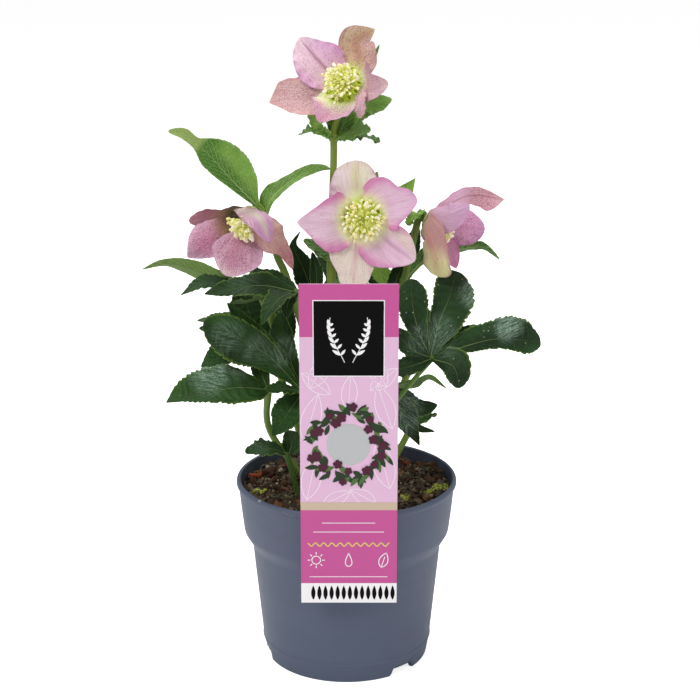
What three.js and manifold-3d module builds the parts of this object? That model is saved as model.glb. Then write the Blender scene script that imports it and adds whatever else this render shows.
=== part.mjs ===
// Hellebore plant in its nursery pot, with a picture label on the rim.
// Millimetres, Z up, the pot stands on z = 0 and the front of the plant faces -Y.
import * as THREE from 'three';
import { mergeVertices } from 'three/addons/utils/BufferGeometryUtils.js';
import Module from 'manifold-3d';

const wasm = await Module();
wasm.setup();

// Pot: a 12 cm nursery pot with a wider collar and a rolled rim.
const potHeight = 102;
const rimRadius = 60;
const wall = 1.2;
const collar = { topRadius: 58.8, topZ: 98.4, midRadius: 57.4, midZ: 84, lowRadius: 56, lowZ: 72.5 };
const lowerWall = { topRadius: 51.6, topZ: 65.2, midRadius: 50.7, midZ: 55, lowRadius: 46.2, lowZ: 7.5 };
const footRadius = 44.6;
const footWidth = 2.6;
const bead = { z: 10.2, rise: 0.5, half: 1.2 };
const floorZ = 4.4;
const floorThick = 2;
const potSegments = 32;
const notchAngles = [43, 163, 283];
const notch = { width: 17, height: 4.1, depth: 12 };

// Soil: fills the pot, with a lumpy top that rises to the crown of the plant.
const fillGap = 0.3;
const soilEdgeZ = 96;
const moundRise = 2.2;
const moundReach = 52;
const lumpHeight = 2.2;
const soilRings = [10, 20, 30, 40, 48];

// Stems stand in plain holes of the soil.
const footZ = 84;
const soilTopZ = 99;
const holeGap = 0.5;
const petioleRadius = 1.7;
const hubRadius = 3.2;

// Blades: the leaflets, sepals and bracts.
const bladeThick = 0.8;
const leafFold = 10;
const sepalWave = 0.7;
const toothDepth = 0.12;
const toothLean = 0.35;
const fuseTolerance = 0.08;

// Flower centres: a disc under the sepals, a ring of nectaries and a bunch of stamens.
const disc = { radius: 5, below: 0.6, above: 0.5, sides: 8 };
const neck = { bend: 5, end: 1.7, radius: 1.8 };
const nectary = { count: 9, halfWidth: 0.95, height: 0.9, rise: 2.2, twist: 0.1, rootThick: 0.9, tipThick: 1.05 };
const stamen = { domeZ: 4, domeRadius: 2.3, length: 11, shorten: 1.5, spread: 62, rootThick: 0.35, tipThick: 0.75 };
const goldenAngle = 2.39996;

// Label: a card in front of the rim, held by a leg that hooks over it into the soil.
const card = { left: -23.2, right: 25.9, low: 55.3, high: 224.3, back: -62.1, thick: 0.8 };
const leg = { left: -6, right: 8, front: -51, thick: 0.8, low: 70, bend: 106, top: 113 };
const legGap = 0.4;

// Half widths of a plain oval blade at even stations of its rib.
const oval = (half) => [0.18, 0.6, 0.9, 1, 0.92, 0.62, 0].map((share) => share * half);

// Leaves: where each stalk leaves the soil, what it passes, its hub, and its leaflets. A leaflet has the
// points of its rib from the hub out, the way it faces, and its half widths at even stations of the rib:
// half for both sides alike, else right and left of the rib as seen from its face with the tip up.
const leaves = {
  left_broad: {
    foot: [-13, -4], via: [[-16, -7, 118]], hub: [-23, -14, 154],
    blades: [
      { rib: [[-23, -14, 154], [-39.5, -22, 175], [-55, -27, 186.5], [-73, -29, 196.5]],
        face: [-0.25, -0.85, 0.45], right: [1, 2.5, 5, 8, 10, 9.5, 0], left: [1, 3, 7, 10, 13, 12, 0],
        tipRound: 2 },
      { rib: [[-23, -13, 153.5], [-36.5, -17, 174], [-49, -19, 189], [-61.5, -20, 204]],
        face: [-0.1, -0.85, 0.5], right: [1, 2.5, 4, 5, 5, 3.5, 0], left: [1, 3, 5, 6, 6, 4, 0] },
      { rib: [[-23, -12, 153], [-31, -9, 174.5], [-35, -6, 195.5]], face: [0.2, -0.95, 0.2],
        right: [1, 2, 4, 5, 5, 4, 0], left: [1, 3, 7, 10, 10, 7, 0], tipRound: 1.8 },
      { rib: [[-23, -16, 154], [-29.5, -29, 148.5], [-38.5, -35, 136.5]], face: [-0.2, -0.9, 0.35],
        right: [1, 5, 8, 9, 8, 4, 0], left: [1, 5, 9, 10, 8, 5, 0], tipRound: 1.3 },
      { rib: [[-23, -16, 154.5], [-32.5, -30, 160.5], [-41.5, -37, 162]], face: [-0.2, -0.7, 0.7],
        right: [1, 3.5, 5, 4.5, 0], left: [1, 3.5, 4.5, 4, 0] },
    ],
  },
  left_low: {
    foot: [-19, -12], via: [[-40, -20, 133.5]], hub: [-41, -25, 158.5],
    blades: [
      { rib: [[-41, -25, 158.5], [-60, -36, 162.5], [-92, -44, 157.5]], face: [0, -0.6, 0.8],
        right: [2, 9, 14, 14.5, 15, 10.5, 0], left: [2, 10, 12, 10.5, 7, 2.5, 0], tipRound: 1.1 },
      { rib: [[-41, -25, 158.5], [-44.5, -21, 166], [-49, -21, 173.5]], face: [0, -0.8, 0.6],
        half: [1, 3, 4.5, 4, 0] },
    ],
  },
  left_upper: {
    foot: [-7, -10], via: [[-12, -14, 140]], hub: [-25.5, -22, 210],
    blades: [
      { rib: [[-25.5, -22, 210], [-42.5, -32, 216], [-58.5, -38, 215.5], [-71.5, -40, 213.5]],
        face: [0, -0.7, 0.7], right: [1, 5, 7.5, 7, 6.5, 4.5, 0], left: [1, 5, 7, 7, 5.5, 3.5, 0],
        tipRound: 1.2 },
      { rib: [[-25.5, -22, 210], [-32.5, -38, 211.5], [-38, -46, 207.5], [-42.5, -50, 200]],
        face: [-0.3, -0.75, 0.6], right: [2, 8, 9, 8, 6, 3.5, 0], left: [1, 3, 4.5, 5, 4.5, 3, 0],
        tipRound: 1.2 },
      { rib: [[-25.5, -20, 209.5], [-35.5, -15, 214.5], [-45.5, -13, 219.5]], face: [0, -0.7, 0.7],
        half: [1, 4, 5, 4, 0] },
      { rib: [[-25.5, -24, 210], [-29.5, -32, 207.5], [-30.5, -36, 200]], face: [0.2, -0.9, 0.3],
        half: [1, 3, 3.5, 3, 0] },
    ],
  },
  left_high: {
    foot: [-15, 4], via: [[-27, 2, 150]], hub: [-44, -8, 204],
    blades: [
      { rib: [[-44, -8, 204], [-64.5, -13, 213], [-80.5, -19, 222], [-92.5, -23, 225.5],
        [-104.5, -26, 223]], face: [0, 0.75, 0.6], half: [1, 4, 6.5, 6.5, 5.5, 3, 0], tipRound: 1.1 },
      { rib: [[-44, -8, 204], [-60, -19, 211.5], [-72, -29, 216.5], [-84, -34, 211.5]],
        face: [0, -0.6, 0.8], right: [1, 4, 6, 7, 6, 3.5, 0], left: [1, 3, 4, 4, 4, 3, 0],
        tipRound: 1.1 },
      { rib: [[-44, -8, 204], [-52.5, -16, 203], [-60.5, -19, 203.5]], face: [0, 0.4, 0.9],
        half: [1, 5, 7, 5, 0] },
      { rib: [[-44.5, -6, 203.5], [-45, 6, 210], [-51.5, 10, 215.5]], face: [0, -0.5, 0.85],
        half: [1, 5, 7, 5, 0] },
    ],
  },
  right_broad: {
    foot: [8, -10], via: [[19.5, -27, 139], [26.5, -33, 155.5]], hub: [44, -30, 177],
    blades: [
      { rib: [[43, -29, 178], [37, -26, 191], [34, -23, 204.5], [33.5, -19, 216.5]],
        face: [0, -0.95, 0.3], half: [1, 3, 5, 7, 8.5, 8, 0], tipRound: 2 },
      { rib: [[43.5, -30, 178.5], [48, -23, 194.5], [53.5, -15, 206], [57, -5, 217.5]],
        face: [0.1, -0.95, 0.3], right: [1, 6, 11.5, 13, 13.5, 11, 0],
        left: [1, 3.5, 6, 7.5, 9.5, 9.5, 0], tipRound: 2 },
      { rib: [[44.5, -30, 177], [63, -25, 182.5], [80, -18, 184], [103, -5, 178.5]],
        face: [0.1, -0.85, 0.5], right: [1, 2.5, 4.5, 5.5, 7, 8, 0], left: [1, 4.5, 9, 10, 12.5, 11, 0],
        tipRound: 2 },
      { rib: [[45, -32, 177], [54.5, -40, 175.5], [57.5, -45, 165.5]], face: [0.1, -0.9, 0.4],
        right: [1, 3, 5, 6.5, 6.5, 5, 0], left: [1, 5, 9, 10, 8, 6, 0], tipRound: 2 },
      { rib: [[44, -31, 177], [33.5, -42, 176.5], [21, -49, 175.5]], face: [-0.1, -0.7, 0.7],
        half: [1, 4, 6, 6, 0] },
      { rib: [[43, -30, 177.5], [33.5, -36, 183.5], [23, -38, 195.5]], face: [0, -0.85, 0.5],
        half: [1, 3.5, 5, 5, 0] },
      { rib: [[45.5, -28, 177.5], [59, -20, 187], [70, -16, 190.5]], face: [0, -0.7, 0.7],
        half: [1, 3, 3.5, 3, 0] },
    ],
  },
  right_low: {
    foot: [15, -4], via: [[19, -7, 118]], hub: [24.5, -18, 157],
    blades: [
      { rib: [[24.5, -18, 157], [28.5, -24, 146], [33, -31, 138.5], [38, -36, 131.5]],
        face: [0.1, -0.85, 0.5], right: [1, 5, 7, 6.5, 4.5, 2, 0], left: [1, 5, 8.5, 8.5, 6, 3.5, 0],
        tipRound: 1.2 },
      { rib: [[25, -18, 156.5], [37, -13, 148], [48.5, -10, 145.5]], face: [0, -0.8, 0.6],
        right: [1, 6, 9.5, 10, 9, 6, 0], left: [1, 4, 4, 3, 2, 1.5, 0], tipRound: 1.5 },
      { rib: [[24.5, -18, 155], [36, -10, 134], [47.5, -8, 129.5]], face: [0.2, -0.6, 0.8],
        half: [1, 3, 3, 2.5, 0] },
      { rib: [[25, -18, 158], [36, -11, 158.5], [44.5, -6, 159.5], [53.5, -3, 152.5]],
        face: [0, -0.5, 0.85], right: [1, 4, 5, 3, 2.5, 1.8, 0], left: [1, 2, 2, 1.5, 1.8, 1.2, 0] },
    ],
  },
  centre_left: {
    foot: [-5, 12], via: [[-10, 12, 150]], hub: [-16.5, 8, 197.5],
    blades: [
      { rib: [[-16.5, 8, 197.5], [-23, 11, 215], [-28, 11, 227], [-24.5, 9, 235.5]], face: [0, -0.9, 0.4],
        right: [1, 4, 5.5, 6, 4, 1.5, 0], left: [1, 5, 7, 6, 4, 1.5, 0] },
      { rib: [[-16.5, 8, 197.5], [-16, 4, 213], [-18, 4, 225.5]], face: [0.3, -0.9, 0.2],
        half: [1, 3.5, 4, 3, 0] },
      { rib: [[-16.5, 8, 197.5], [-6.5, 18, 207], [-15.5, 26, 219]], face: [0, -0.8, 0.6],
        half: [1, 4, 5, 4, 0] },
      { rib: [[-16.5, 8, 197.5], [-32.5, 14, 193.5], [-45.5, 14, 190]], face: [-0.1, -0.8, 0.6],
        half: [1, 5, 6, 4.5, 0] },
    ],
  },
  centre_right: {
    foot: [6, 10], via: [[12, 10, 150]], hub: [25, 8, 198.5],
    blades: [
      { rib: [[25, 8, 198.5], [27, 6, 211.5], [32, 6, 219.5]], face: [0, -0.9, 0.4],
        half: [1, 4, 5.5, 4, 0] },
      { rib: [[25, 8, 198.5], [33, 14, 220], [38, 14, 238.5]], face: [-0.1, -0.95, 0.2],
        half: [1, 4.5, 6, 4.5, 0] },
      { rib: [[25, 8, 198.5], [17, 14, 207], [7.5, 16, 217.5]], face: [0, -0.8, 0.6],
        half: [1, 4, 5, 4, 0] },
      { rib: [[25, 8, 198.5], [45, 16, 198.5], [62.5, 18, 192.5]], face: [0, -0.7, 0.7],
        half: [1, 6, 8, 6, 0] },
    ],
  },
  left_rear: {
    foot: [-21, -3], via: [[-25, -2, 125]], hub: [-38, 4, 165],
    blades: [
      { rib: [[-38, 4, 165], [-57, 0, 173], [-77.5, -5, 165]], face: [-0.1, -0.8, 0.6],
        right: [1, 5, 7, 8, 0], left: [1, 5, 7, 6, 0], tipRound: 1.3 },
      { rib: [[-38, 4, 165], [-57, 2, 181], [-78.5, 0, 185]], face: [-0.1, -0.7, 0.7],
        half: [1, 5, 7, 5, 0] },
      { rib: [[-38, 6, 164.5], [-33.5, 8, 179.5], [-29.5, 8, 194]], face: [0.1, -0.9, 0.3],
        half: [1, 5, 6, 5, 0] },
      { rib: [[-38, 6, 164.5], [-52, 10, 184.5], [-62.5, 12, 199.5]], face: [0, -0.7, 0.7],
        half: [1, 6, 8, 6, 0] },
    ],
  },
  base: {
    foot: [-26, -20], via: [], hub: [-31.5, -26, 123.5],
    blades: [
      { rib: [[-31.5, -26, 123.5], [-41, -31, 128], [-53, -33, 127]], face: [0, -0.35, 0.93],
        half: [1, 4, 6.5, 7, 6.5, 5, 0], tipRound: 2 },
      { rib: [[-30, -27, 124.5], [-28.5, -31, 132], [-31, -33, 139]], face: [0, -0.9, 0.4],
        half: [2, 5, 6.5, 5, 0] },
    ],
  },
  back_left: {
    foot: [-13, 13], via: [[-18, 16, 120]], hub: [-34, 20, 168],
    blades: [
      { rib: [[-34, 20, 168], [-56, 26, 180], [-82, 26, 182]], face: [-0.3, 0.5, 0.8], half: oval(12) },
      { rib: [[-34, 20, 168], [-50, 34, 177.5], [-70, 46, 176]], face: [-0.3, 0.5, 0.8], half: oval(12) },
      { rib: [[-34, 20, 168], [-40, 38.5, 175], [-44, 58, 170]], face: [-0.3, 0.5, 0.8], half: oval(12) },
      { rib: [[-34, 20, 168], [-39, 29, 182.5], [-38, 34, 200]], face: [-0.3, 0.5, 0.8], half: oval(10) },
    ],
  },
  back_middle: {
    foot: [1, 18], via: [[2, 24, 125]], hub: [4, 28, 178],
    blades: [
      { rib: [[4, 28, 178], [-6.5, 39, 191.5], [-24, 48, 198]], face: [0, 0.5, 0.85], half: oval(11) },
      { rib: [[4, 28, 178], [-0.5, 45.5, 186], [-8, 63, 182]], face: [0, 0.5, 0.85], half: oval(12) },
      { rib: [[4, 28, 178], [10, 46, 182], [18, 62, 174]], face: [0, 0.5, 0.85], half: oval(12) },
      { rib: [[4, 28, 178], [17.5, 40.5, 188], [36, 50, 190]], face: [0, 0.5, 0.85], half: oval(11) },
      { rib: [[4, 28, 178], [4, 37, 195], [4, 40, 214]], face: [0, 0.5, 0.85], half: oval(9) },
    ],
  },
  back_right: {
    foot: [12, 16], via: [[18, 20, 115]], hub: [36, 24, 158],
    blades: [
      { rib: [[36, 24, 158], [58, 27.5, 168], [82, 24, 168]], face: [0.3, 0.5, 0.8], half: oval(12) },
      { rib: [[36, 24, 158], [54, 36, 164.5], [74, 45, 160]], face: [0.3, 0.5, 0.8], half: oval(12) },
      { rib: [[36, 24, 158], [44, 41.5, 162], [50, 58, 154]], face: [0.3, 0.5, 0.8], half: oval(12) },
      { rib: [[36, 24, 158], [42.5, 31.5, 174], [52, 32, 190]], face: [0.3, 0.5, 0.8], half: oval(10) },
    ],
  },
  back_low: {
    foot: [20, 6], via: [[26, 8, 108]], hub: [36, 12, 126],
    blades: [
      { rib: [[36, 12, 126], [53, 12, 131], [70, 10, 126]], face: [0.2, 0.2, 0.95], half: oval(10) },
      { rib: [[36, 12, 126], [49.5, 22.5, 129], [62, 32, 122]], face: [0.2, 0.2, 0.95], half: oval(10) },
      { rib: [[36, 12, 126], [39, 29, 127], [40, 44, 118]], face: [0.2, 0.2, 0.95], half: oval(9) },
    ],
  },
};

// Flowers: centre, the way each looks, its sepals, and its stem with the bracts on it.
const flowers = {
  top: {
    centre: [0, 0, 312], axis: [-0.3, -0.85, 0.42], reach: 45, flare: 3.2, spread: 1, cup: 0.18,
    stamens: 28, joint: [-6.5, 4, 286], heart: 1, ring: 5.8, ringZ: 4.1,
    sepals: [
      { rib: [[-2.5, 1.5, 314], [-12.5, 3, 323.5], [-24, 11, 336]], right: [3, 9, 12.5, 13, 9, 5, 0],
        left: [3, 9, 12, 13, 11.5, 8.5, 0] },
      { rib: [[-3.5, 0.5, 311], [-21, 0, 307.5], [-39.5, 3, 304]], right: [3, 7, 9.5, 10.5, 10.5, 9, 0],
        left: [3, 8, 10.5, 11, 8.5, 4, 0], tipRound: 1.2 },
      { rib: [[-1, -1.5, 309], [-6.5, -13, 303.5], [-13.5, -20, 297]], right: [4, 8, 10.5, 11, 9, 6, 0],
        left: [4, 9, 12, 12, 9.5, 6, 0] },
      { rib: [[3, -1.5, 311.5], [11.5, -12, 312], [21, -18, 315.5]], right: [3, 7, 10, 10, 8, 6, 0],
        left: [5, 11, 14, 7, 4.5, 3, 0] },
      { rib: [[1.5, 1, 315], [6, 4, 326], [6, 8, 334.5], [14.5, 5, 341]], right: [3, 8, 11, 11, 6, 4, 0],
        left: [3, 6, 7.5, 9.5, 9, 5, 0], tipRound: 1.2 },
    ],
    stem: [[-6, 6, 150], [-8, 5, 220], [-6.5, 4, 274.5], [-6.5, 4, 286], [-5.5, 4, 293]],
    foot: [-2, 6], radii: [2.4, 2.3, 2.2, 2.1, 2.4, 1.8],
    bracts: [
      { rib: [[-7, 4, 285], [-15.5, 0, 290], [-24.5, -4, 288.5]], face: [0.1, 0.1, 1],
        half: [2, 4, 5, 4, 0] },
      { rib: [[-7.5, 2, 286.5], [-14.5, -1, 291.5], [-19, -3, 300]], face: [0.4, -0.8, 0.2],
        half: [1.5, 2.5, 3.4, 3.4, 0] },
      { rib: [[-5.5, 6, 285.5], [-1.5, 5, 292], [2.5, 4, 299.5]], face: [0, -0.9, 0.3],
        right: [2, 7, 9.5, 7, 0], left: [2, 8, 10, 7, 0] },
      { rib: [[-5, 2, 285.5], [3, -6, 290], [12.5, -10, 291.5]], face: [0, -0.5, 0.85],
        half: [2, 6, 8.5, 7, 0] },
      { rib: [[-5, 3.5, 286], [8, -1, 287.5], [17.5, -3, 284.5]], face: [0, -0.3, 1],
        half: [2, 3, 3.5, 3.5, 0] },
      { rib: [[-4.5, 5, 286.5], [9, 9, 299.5], [23.5, 6, 305.5]], face: [0, -0.95, 0.3],
        half: [1.5, 3, 4.5, 5, 0] },
      { rib: [[-4.5, 5, 286.5], [7, 15, 310], [17, 12, 332.5]], face: [0, -1, 0.2],
        half: [1, 2.5, 3, 2, 0] },
    ],
  },
  middle: {
    centre: [8, -19, 249], axis: [0.03, -1, -0.04], reach: 60, flare: 3.2, spread: 1, cup: 0.18,
    stamens: 28, joint: [8.5, -5, 222], heart: 1, ring: 5.8, ringZ: 4.1,
    sepals: [
      { rib: [[7.5, -19.5, 252.5], [5.5, -22, 264.5], [4.5, -20, 278]],
        right: [3, 7, 9.5, 10.5, 10, 8, 0], left: [3, 8, 13, 14, 13, 10.5, 0], tipRound: 2 },
      { rib: [[11, -19, 250.5], [21, -26, 256], [36, -24, 258.5]], right: [3, 7, 11.5, 14, 10, 4.5, 0],
        left: [8, 16, 17.5, 13.5, 7.5, 6, 0] },
      { rib: [[11, -19, 247], [22, -26, 238], [35, -24, 228.5]], right: [6, 12.5, 14, 13.5, 10.5, 7.5, 0],
        left: [3, 7.5, 9.5, 11, 11, 8, 0] },
      { rib: [[7.5, -19, 245.5], [4.5, -23, 228.5], [3.5, -22, 209.5]], right: [3, 9, 14, 13, 9, 7, 0],
        left: [3, 7, 10, 10.5, 9, 7, 0] },
      { rib: [[4.5, -19, 248.5], [-8.5, -26, 247.5], [-25, -24, 247]],
        right: [6, 11, 15, 13, 8.5, 4.5, 0], left: [6, 12, 15, 15, 10.5, 5.5, 0], tipRound: 1.3 },
    ],
    stem: [[4, -5, 150], [7, -5, 205], [8.5, -5, 222], [8.5, -6, 232]],
    foot: [3, -5], radii: [2.3, 2.2, 2, 2, 1.8],
    bracts: [
      { rib: [[7, -5, 222], [0, -1, 218], [-5, 1, 208.5]], face: [-0.2, -0.8, 0.5],
        half: [1.5, 3, 4, 3, 0] },
      { rib: [[9, -6, 221.5], [16, -8, 219.5], [20.5, -8, 210]], face: [0.2, -0.8, 0.5],
        half: [2, 4.5, 6, 4, 0] },
      { rib: [[9, -3, 221.5], [23, 4, 245.5], [36, 4, 265]], face: [0, -0.95, 0.2],
        half: [2, 5, 6.5, 6, 0], tipRound: 1 },
      { rib: [[8.5, -4, 223], [12.5, 5, 250.5], [16, 3, 268.5]], face: [0, -0.95, 0.2],
        half: [1.5, 3, 4, 3.5, 0] },
      { rib: [[7.5, -6, 221.5], [-8.5, -4, 227], [-22.5, -3, 233.5]], face: [0, -0.8, 0.5],
        half: [1.5, 4, 5, 4.5, 0] },
    ],
  },
  left: {
    centre: [-48, -12, 249.5], axis: [-0.45, -0.7, -0.55], reach: 26, flare: 1.1, spread: 0.62, cup: 0.1,
    stamens: 18, heart: 0.6, ring: 1.9, ringZ: 1.8,
    sepals: [
      { rib: [[-51, -11, 250.5], [-57, -10.5, 250.5], [-64.5, -13, 248.5], [-80.5, -17, 246.5]],
        face: [0.1, -0.75, -0.65], half: [3, 7, 10, 10.5, 9, 5.5, 0] },
      { rib: [[-50.5, -9.5, 248.5], [-55, -8, 245.5], [-65, -12, 237], [-82, -14, 226.5]],
        face: [0.3, -0.9, 0.2], right: [3, 8, 11, 12, 12, 9, 0], left: [3, 8, 11, 12, 10, 6, 0],
        tipRound: 1.2 },
      { rib: [[-48.5, -10, 247], [-50, -8, 242], [-56, -14, 232.5], [-62.5, -20, 218]],
        face: [0.1, -0.9, 0.35], right: [3, 9, 12, 12, 10.5, 6.5, 0], left: [3, 8, 12, 14, 14, 11, 0] },
      { rib: [[-45, -12.5, 247.5], [-42, -14.5, 243], [-38.5, -17, 238], [-32, -19, 231.5],
        [-27.5, -19, 221.5]], face: [-0.3, 0.8, -0.6], right: [2, 5, 7, 8, 7, 3, 0],
        left: [2, 6, 8, 9, 7, 3, 0] },
      { rib: [[-46, -14.5, 251], [-44.5, -20, 252], [-45, -25, 250.5], [-39, -35, 238.5]],
        face: [-0.5, 0.75, -0.4], right: [4, 8, 11, 12, 10, 7, 0], left: [4, 6, 7, 8, 7, 4, 0] },
    ],
    stem: [[-10, 3, 130], [-22, 1, 180], [-31.5, 0, 212.5], [-36, -2, 224], [-39, -4, 236]],
    foot: [-6, 2], radii: [2.3, 2.2, 2, 1.8, 1.8, 2],
    bracts: [
      { rib: [[-42.5, -9, 249.5], [-49.5, -12, 257], [-60, -15, 269], [-68, -18, 279], [-74.5, -20, 286],
        [-81.5, -21, 291.5], [-89, -22, 293]], face: [0.15, -0.9, 0.35],
        right: [1.5, 4, 10.5, 14, 14, 11, 4, 2.5, 0], left: [1, 1.5, 3, 4.5, 6, 6.5, 3.5, 2.5, 0] },
      { rib: [[-41.5, -8, 248], [-39, -9, 255.5], [-32, -7, 262.5], [-22.5, -5, 268.5], [-13.5, -3, 271],
        [-8, -2, 270.5]], face: [-0.3, -0.85, 0.4], right: [1.5, 2.5, 2.5, 2.5, 2, 0],
        left: [2, 6, 4.5, 3.5, 3, 0] },
    ],
  },
  right: {
    centre: [42, -6, 244.5], axis: [0.8, -0.42, -0.35], reach: 28, flare: 1.1, spread: 0.62, cup: 0.1,
    stamens: 18, heart: 0.6, ring: 1.9, ringZ: 1.8,
    sepals: [
      { rib: [[44, -5, 247.5], [48.5, -5, 250.5], [54, -5, 253.5], [65.5, -4, 257.5], [81.5, -6, 255.5]],
        face: [0.3, -0.5, -0.7], faceTip: [0.1, -0.95, -0.3], half: [3, 6, 7.5, 7, 6.5, 5.5, 0],
        tipRound: 1.1 },
      { rib: [[42, -8, 247], [44.5, -12.5, 250], [52.5, -20, 251], [62.5, -21, 255.5]],
        face: [0.3, 0.85, -0.5], right: [1.5, 2, 3.5, 5, 5.5, 3.5, 0], left: [3, 8, 11, 11, 9, 6, 0] },
      { rib: [[44, -3, 244.5], [48.5, 0.5, 244], [59, -1, 240.5], [72, -6, 240]],
        face: [-0.2, -0.95, -0.1], right: [3, 7, 9, 10, 10, 8, 0], left: [3, 7, 9.5, 10, 10, 8, 0],
        tipRound: 1.8 },
      { rib: [[40, -8.5, 243], [39.5, -13.5, 240.5], [42.5, -18, 237.5], [45.5, -20, 227.5],
        [49.5, -15, 215.5]], face: [0.6, 0.8, 0.1], right: [3, 6.5, 6.5, 6, 6.5, 7, 0],
        left: [3, 4, 4.5, 4.5, 5, 6.5, 0], tipRound: 2 },
      { rib: [[42, -4, 241.5], [44, -2, 237], [53.5, -5, 230.5], [57.5, -6, 219]], face: [0.1, -0.95, 0],
        right: [3, 5, 6, 6.5, 6, 4, 0], left: [3, 5, 6, 5, 4, 3, 0] },
    ],
    stem: [[10, 2, 130], [20, 0, 180], [30, -3, 211]],
    foot: [5, 2], radii: [2.3, 2.2, 2, 1.9],
    bracts: [
      { rib: [[30, -3, 210], [35.5, 0, 216.5], [44, 3, 223], [59, 4, 226.5], [71.5, 2, 228.5],
        [80.5, -1, 222.5]], face: [0, -0.75, 0.65], right: [1, 1.5, 2, 2, 1.5, 0],
        left: [2.5, 5, 5, 4, 2.5, 0] },
      { rib: [[38, -4.5, 246.5], [35.5, -8, 248.5], [31.5, -10, 242.5]], face: [-0.4, -0.6, 0.7],
        half: [2, 4, 4.5, 3.5, 0] },
    ],
  },
};

const unit = (v) => v.clone().normalize();
const vec = (a) => new THREE.Vector3(a[0], a[1], a[2]);
const mix = (a, b, t) => a + (b - a) * t;

// A point on the smooth curve through the control points (Catmull-Rom, ends mirrored), t from 0 to 1.
function curvePoint(points, t) {
  const spans = points.length - 1;
  const at = Math.min(t * spans, spans - 1e-9);
  const i = Math.floor(at);
  const f = at - i;
  const get = (k) => {
    if (k < 0) return points[0].map((v, a) => 2 * v - points[1][a]);
    if (k > spans) return points[spans].map((v, a) => 2 * v - points[spans - 1][a]);
    return points[k];
  };
  const [a, b, c, d] = [get(i - 1), get(i), get(i + 1), get(i + 2)];
  return b.map((v, k) => 0.5 * (2 * v + (c[k] - a[k]) * f
    + (2 * a[k] - 5 * v + 4 * c[k] - d[k]) * f * f + (3 * v - a[k] - 3 * c[k] + d[k]) * f ** 3));
}

// Points at even distances along the curve.
function evenPoints(points, count) {
  const steps = 120;
  const fine = Array.from({ length: steps + 1 }, (_, i) => vec(curvePoint(points, i / steps)));
  const run = [0];
  for (let i = 1; i <= steps; i++) run.push(run[i - 1] + fine[i].distanceTo(fine[i - 1]));
  return Array.from({ length: count }, (_, k) => {
    const want = run[steps] * k / (count - 1);
    const i = Math.max(1, run.findIndex((r) => r >= want - 1e-9));
    return fine[i - 1].clone().lerp(fine[i], (want - run[i - 1]) / (run[i] - run[i - 1]));
  });
}

// Half width at s from widths at even stations. The power makes the end round (2) or pointed (1).
function halfWidth(values, s, power) {
  const lifted = values.map((v) => [v ** power]);
  return Math.max(curvePoint(lifted, s)[0], 0) ** (1 / power);
}

// Closed solid from a list of points and triangles, dropping those that have shrunk to a line.
function solid(points, faces) {
  const geometry = new THREE.BufferGeometry();
  geometry.setAttribute('position', new THREE.Float32BufferAttribute(points.flatMap((p) => p.toArray()), 3));
  geometry.setIndex(faces.flat());
  return solidOf(geometry);
}

function solidOf(source) {
  const geometry = source.index ? source.toNonIndexed() : source.clone();
  geometry.deleteAttribute('normal');
  geometry.deleteAttribute('uv');
  const merged = mergeVertices(geometry, 1e-4);
  const index = Array.from(merged.index.array);
  const kept = [];
  for (let i = 0; i < index.length; i += 3) {
    const [a, b, c] = index.slice(i, i + 3);
    if (a !== b && b !== c && c !== a) kept.push(a, b, c);
  }
  const build = (triangles) => new wasm.Manifold(new wasm.Mesh({
    numProp: 3,
    vertProperties: new Float32Array(merged.attributes.position.array),
    triVerts: new Uint32Array(triangles),
  }));
  const made = build(kept);
  return made.volume() > 0 ? made : build(kept.reverse());
}

const fuse = (solids) => solids.reduce((a, b) => a.add(b)).asOriginal().simplify(fuseTolerance);

function meshOf(name, made, colour, roughness) {
  const data = made.getMesh();
  const geometry = new THREE.BufferGeometry();
  geometry.setAttribute('position', new THREE.BufferAttribute(new Float32Array(data.vertProperties), 3));
  geometry.setIndex(new THREE.BufferAttribute(new Uint32Array(data.triVerts), 1));
  geometry.computeVertexNormals();
  const mesh = new THREE.Mesh(geometry, new THREE.MeshStandardMaterial({ color: colour, roughness, metalness: 0 }));
  mesh.name = name;
  return mesh;
}

// Surface of a blade as rows of points from base to tip: at each place of its rib the row goes to both
// sides by the half widths there, rises with the fold and the cup, and ripples towards its edge.
function bladeRows(spec, look) {
  const { along, across, fold = 0, cup = 0, wave = 0, phase = 0, toothed = false, focus = null } = look;
  const power = spec.tipRound ?? 1.6;
  const rib = evenPoints(spec.rib, along);
  const step = rib[1].distanceTo(rib[0]);
  const tilt = THREE.MathUtils.degToRad(fold);
  const widest = Math.max(...(spec.half ?? spec.right));
  return rib.map((p, i) => {
    const s = i / (along - 1);
    const run = unit(rib[Math.min(i + 1, along - 1)].clone().sub(rib[Math.max(i - 1, 0)]));
    const facing = focus ? unit(focus.clone().sub(p)) : unit(vec(spec.face).lerp(vec(spec.faceTip ?? spec.face), s));
    const normal = unit(facing.addScaledVector(run, -facing.dot(run)));
    const side = new THREE.Vector3().crossVectors(run, normal);
    const tip = i === along - 1;
    const isTooth = i % 2 === 1;
    const cut = toothed && s > 0.15 && !isTooth ? 1 - toothDepth : 1;
    return Array.from({ length: across }, (_, j) => {
      const u = 2 * j / (across - 1) - 1;
      const h = tip ? 0 : cut * halfWidth((u > 0 ? spec.right : spec.left) ?? spec.half, s, power);
      const swing = Math.sin(2 * Math.PI * 2.2 * s + phase + 1.3 * Math.sign(u));
      const ripple = wave * swing * u * u * Math.min(h / widest, 1);
      const lean = toothed && isTooth && !tip ? toothLean * step * Math.abs(u) ** 4 : 0;
      return p.clone().addScaledVector(side, h * u * Math.cos(tilt))
        .addScaledVector(normal, h * Math.abs(u) * Math.sin(tilt) + cup * h * u * u + ripple)
        .addScaledVector(run, lean);
    });
  });
}

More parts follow.
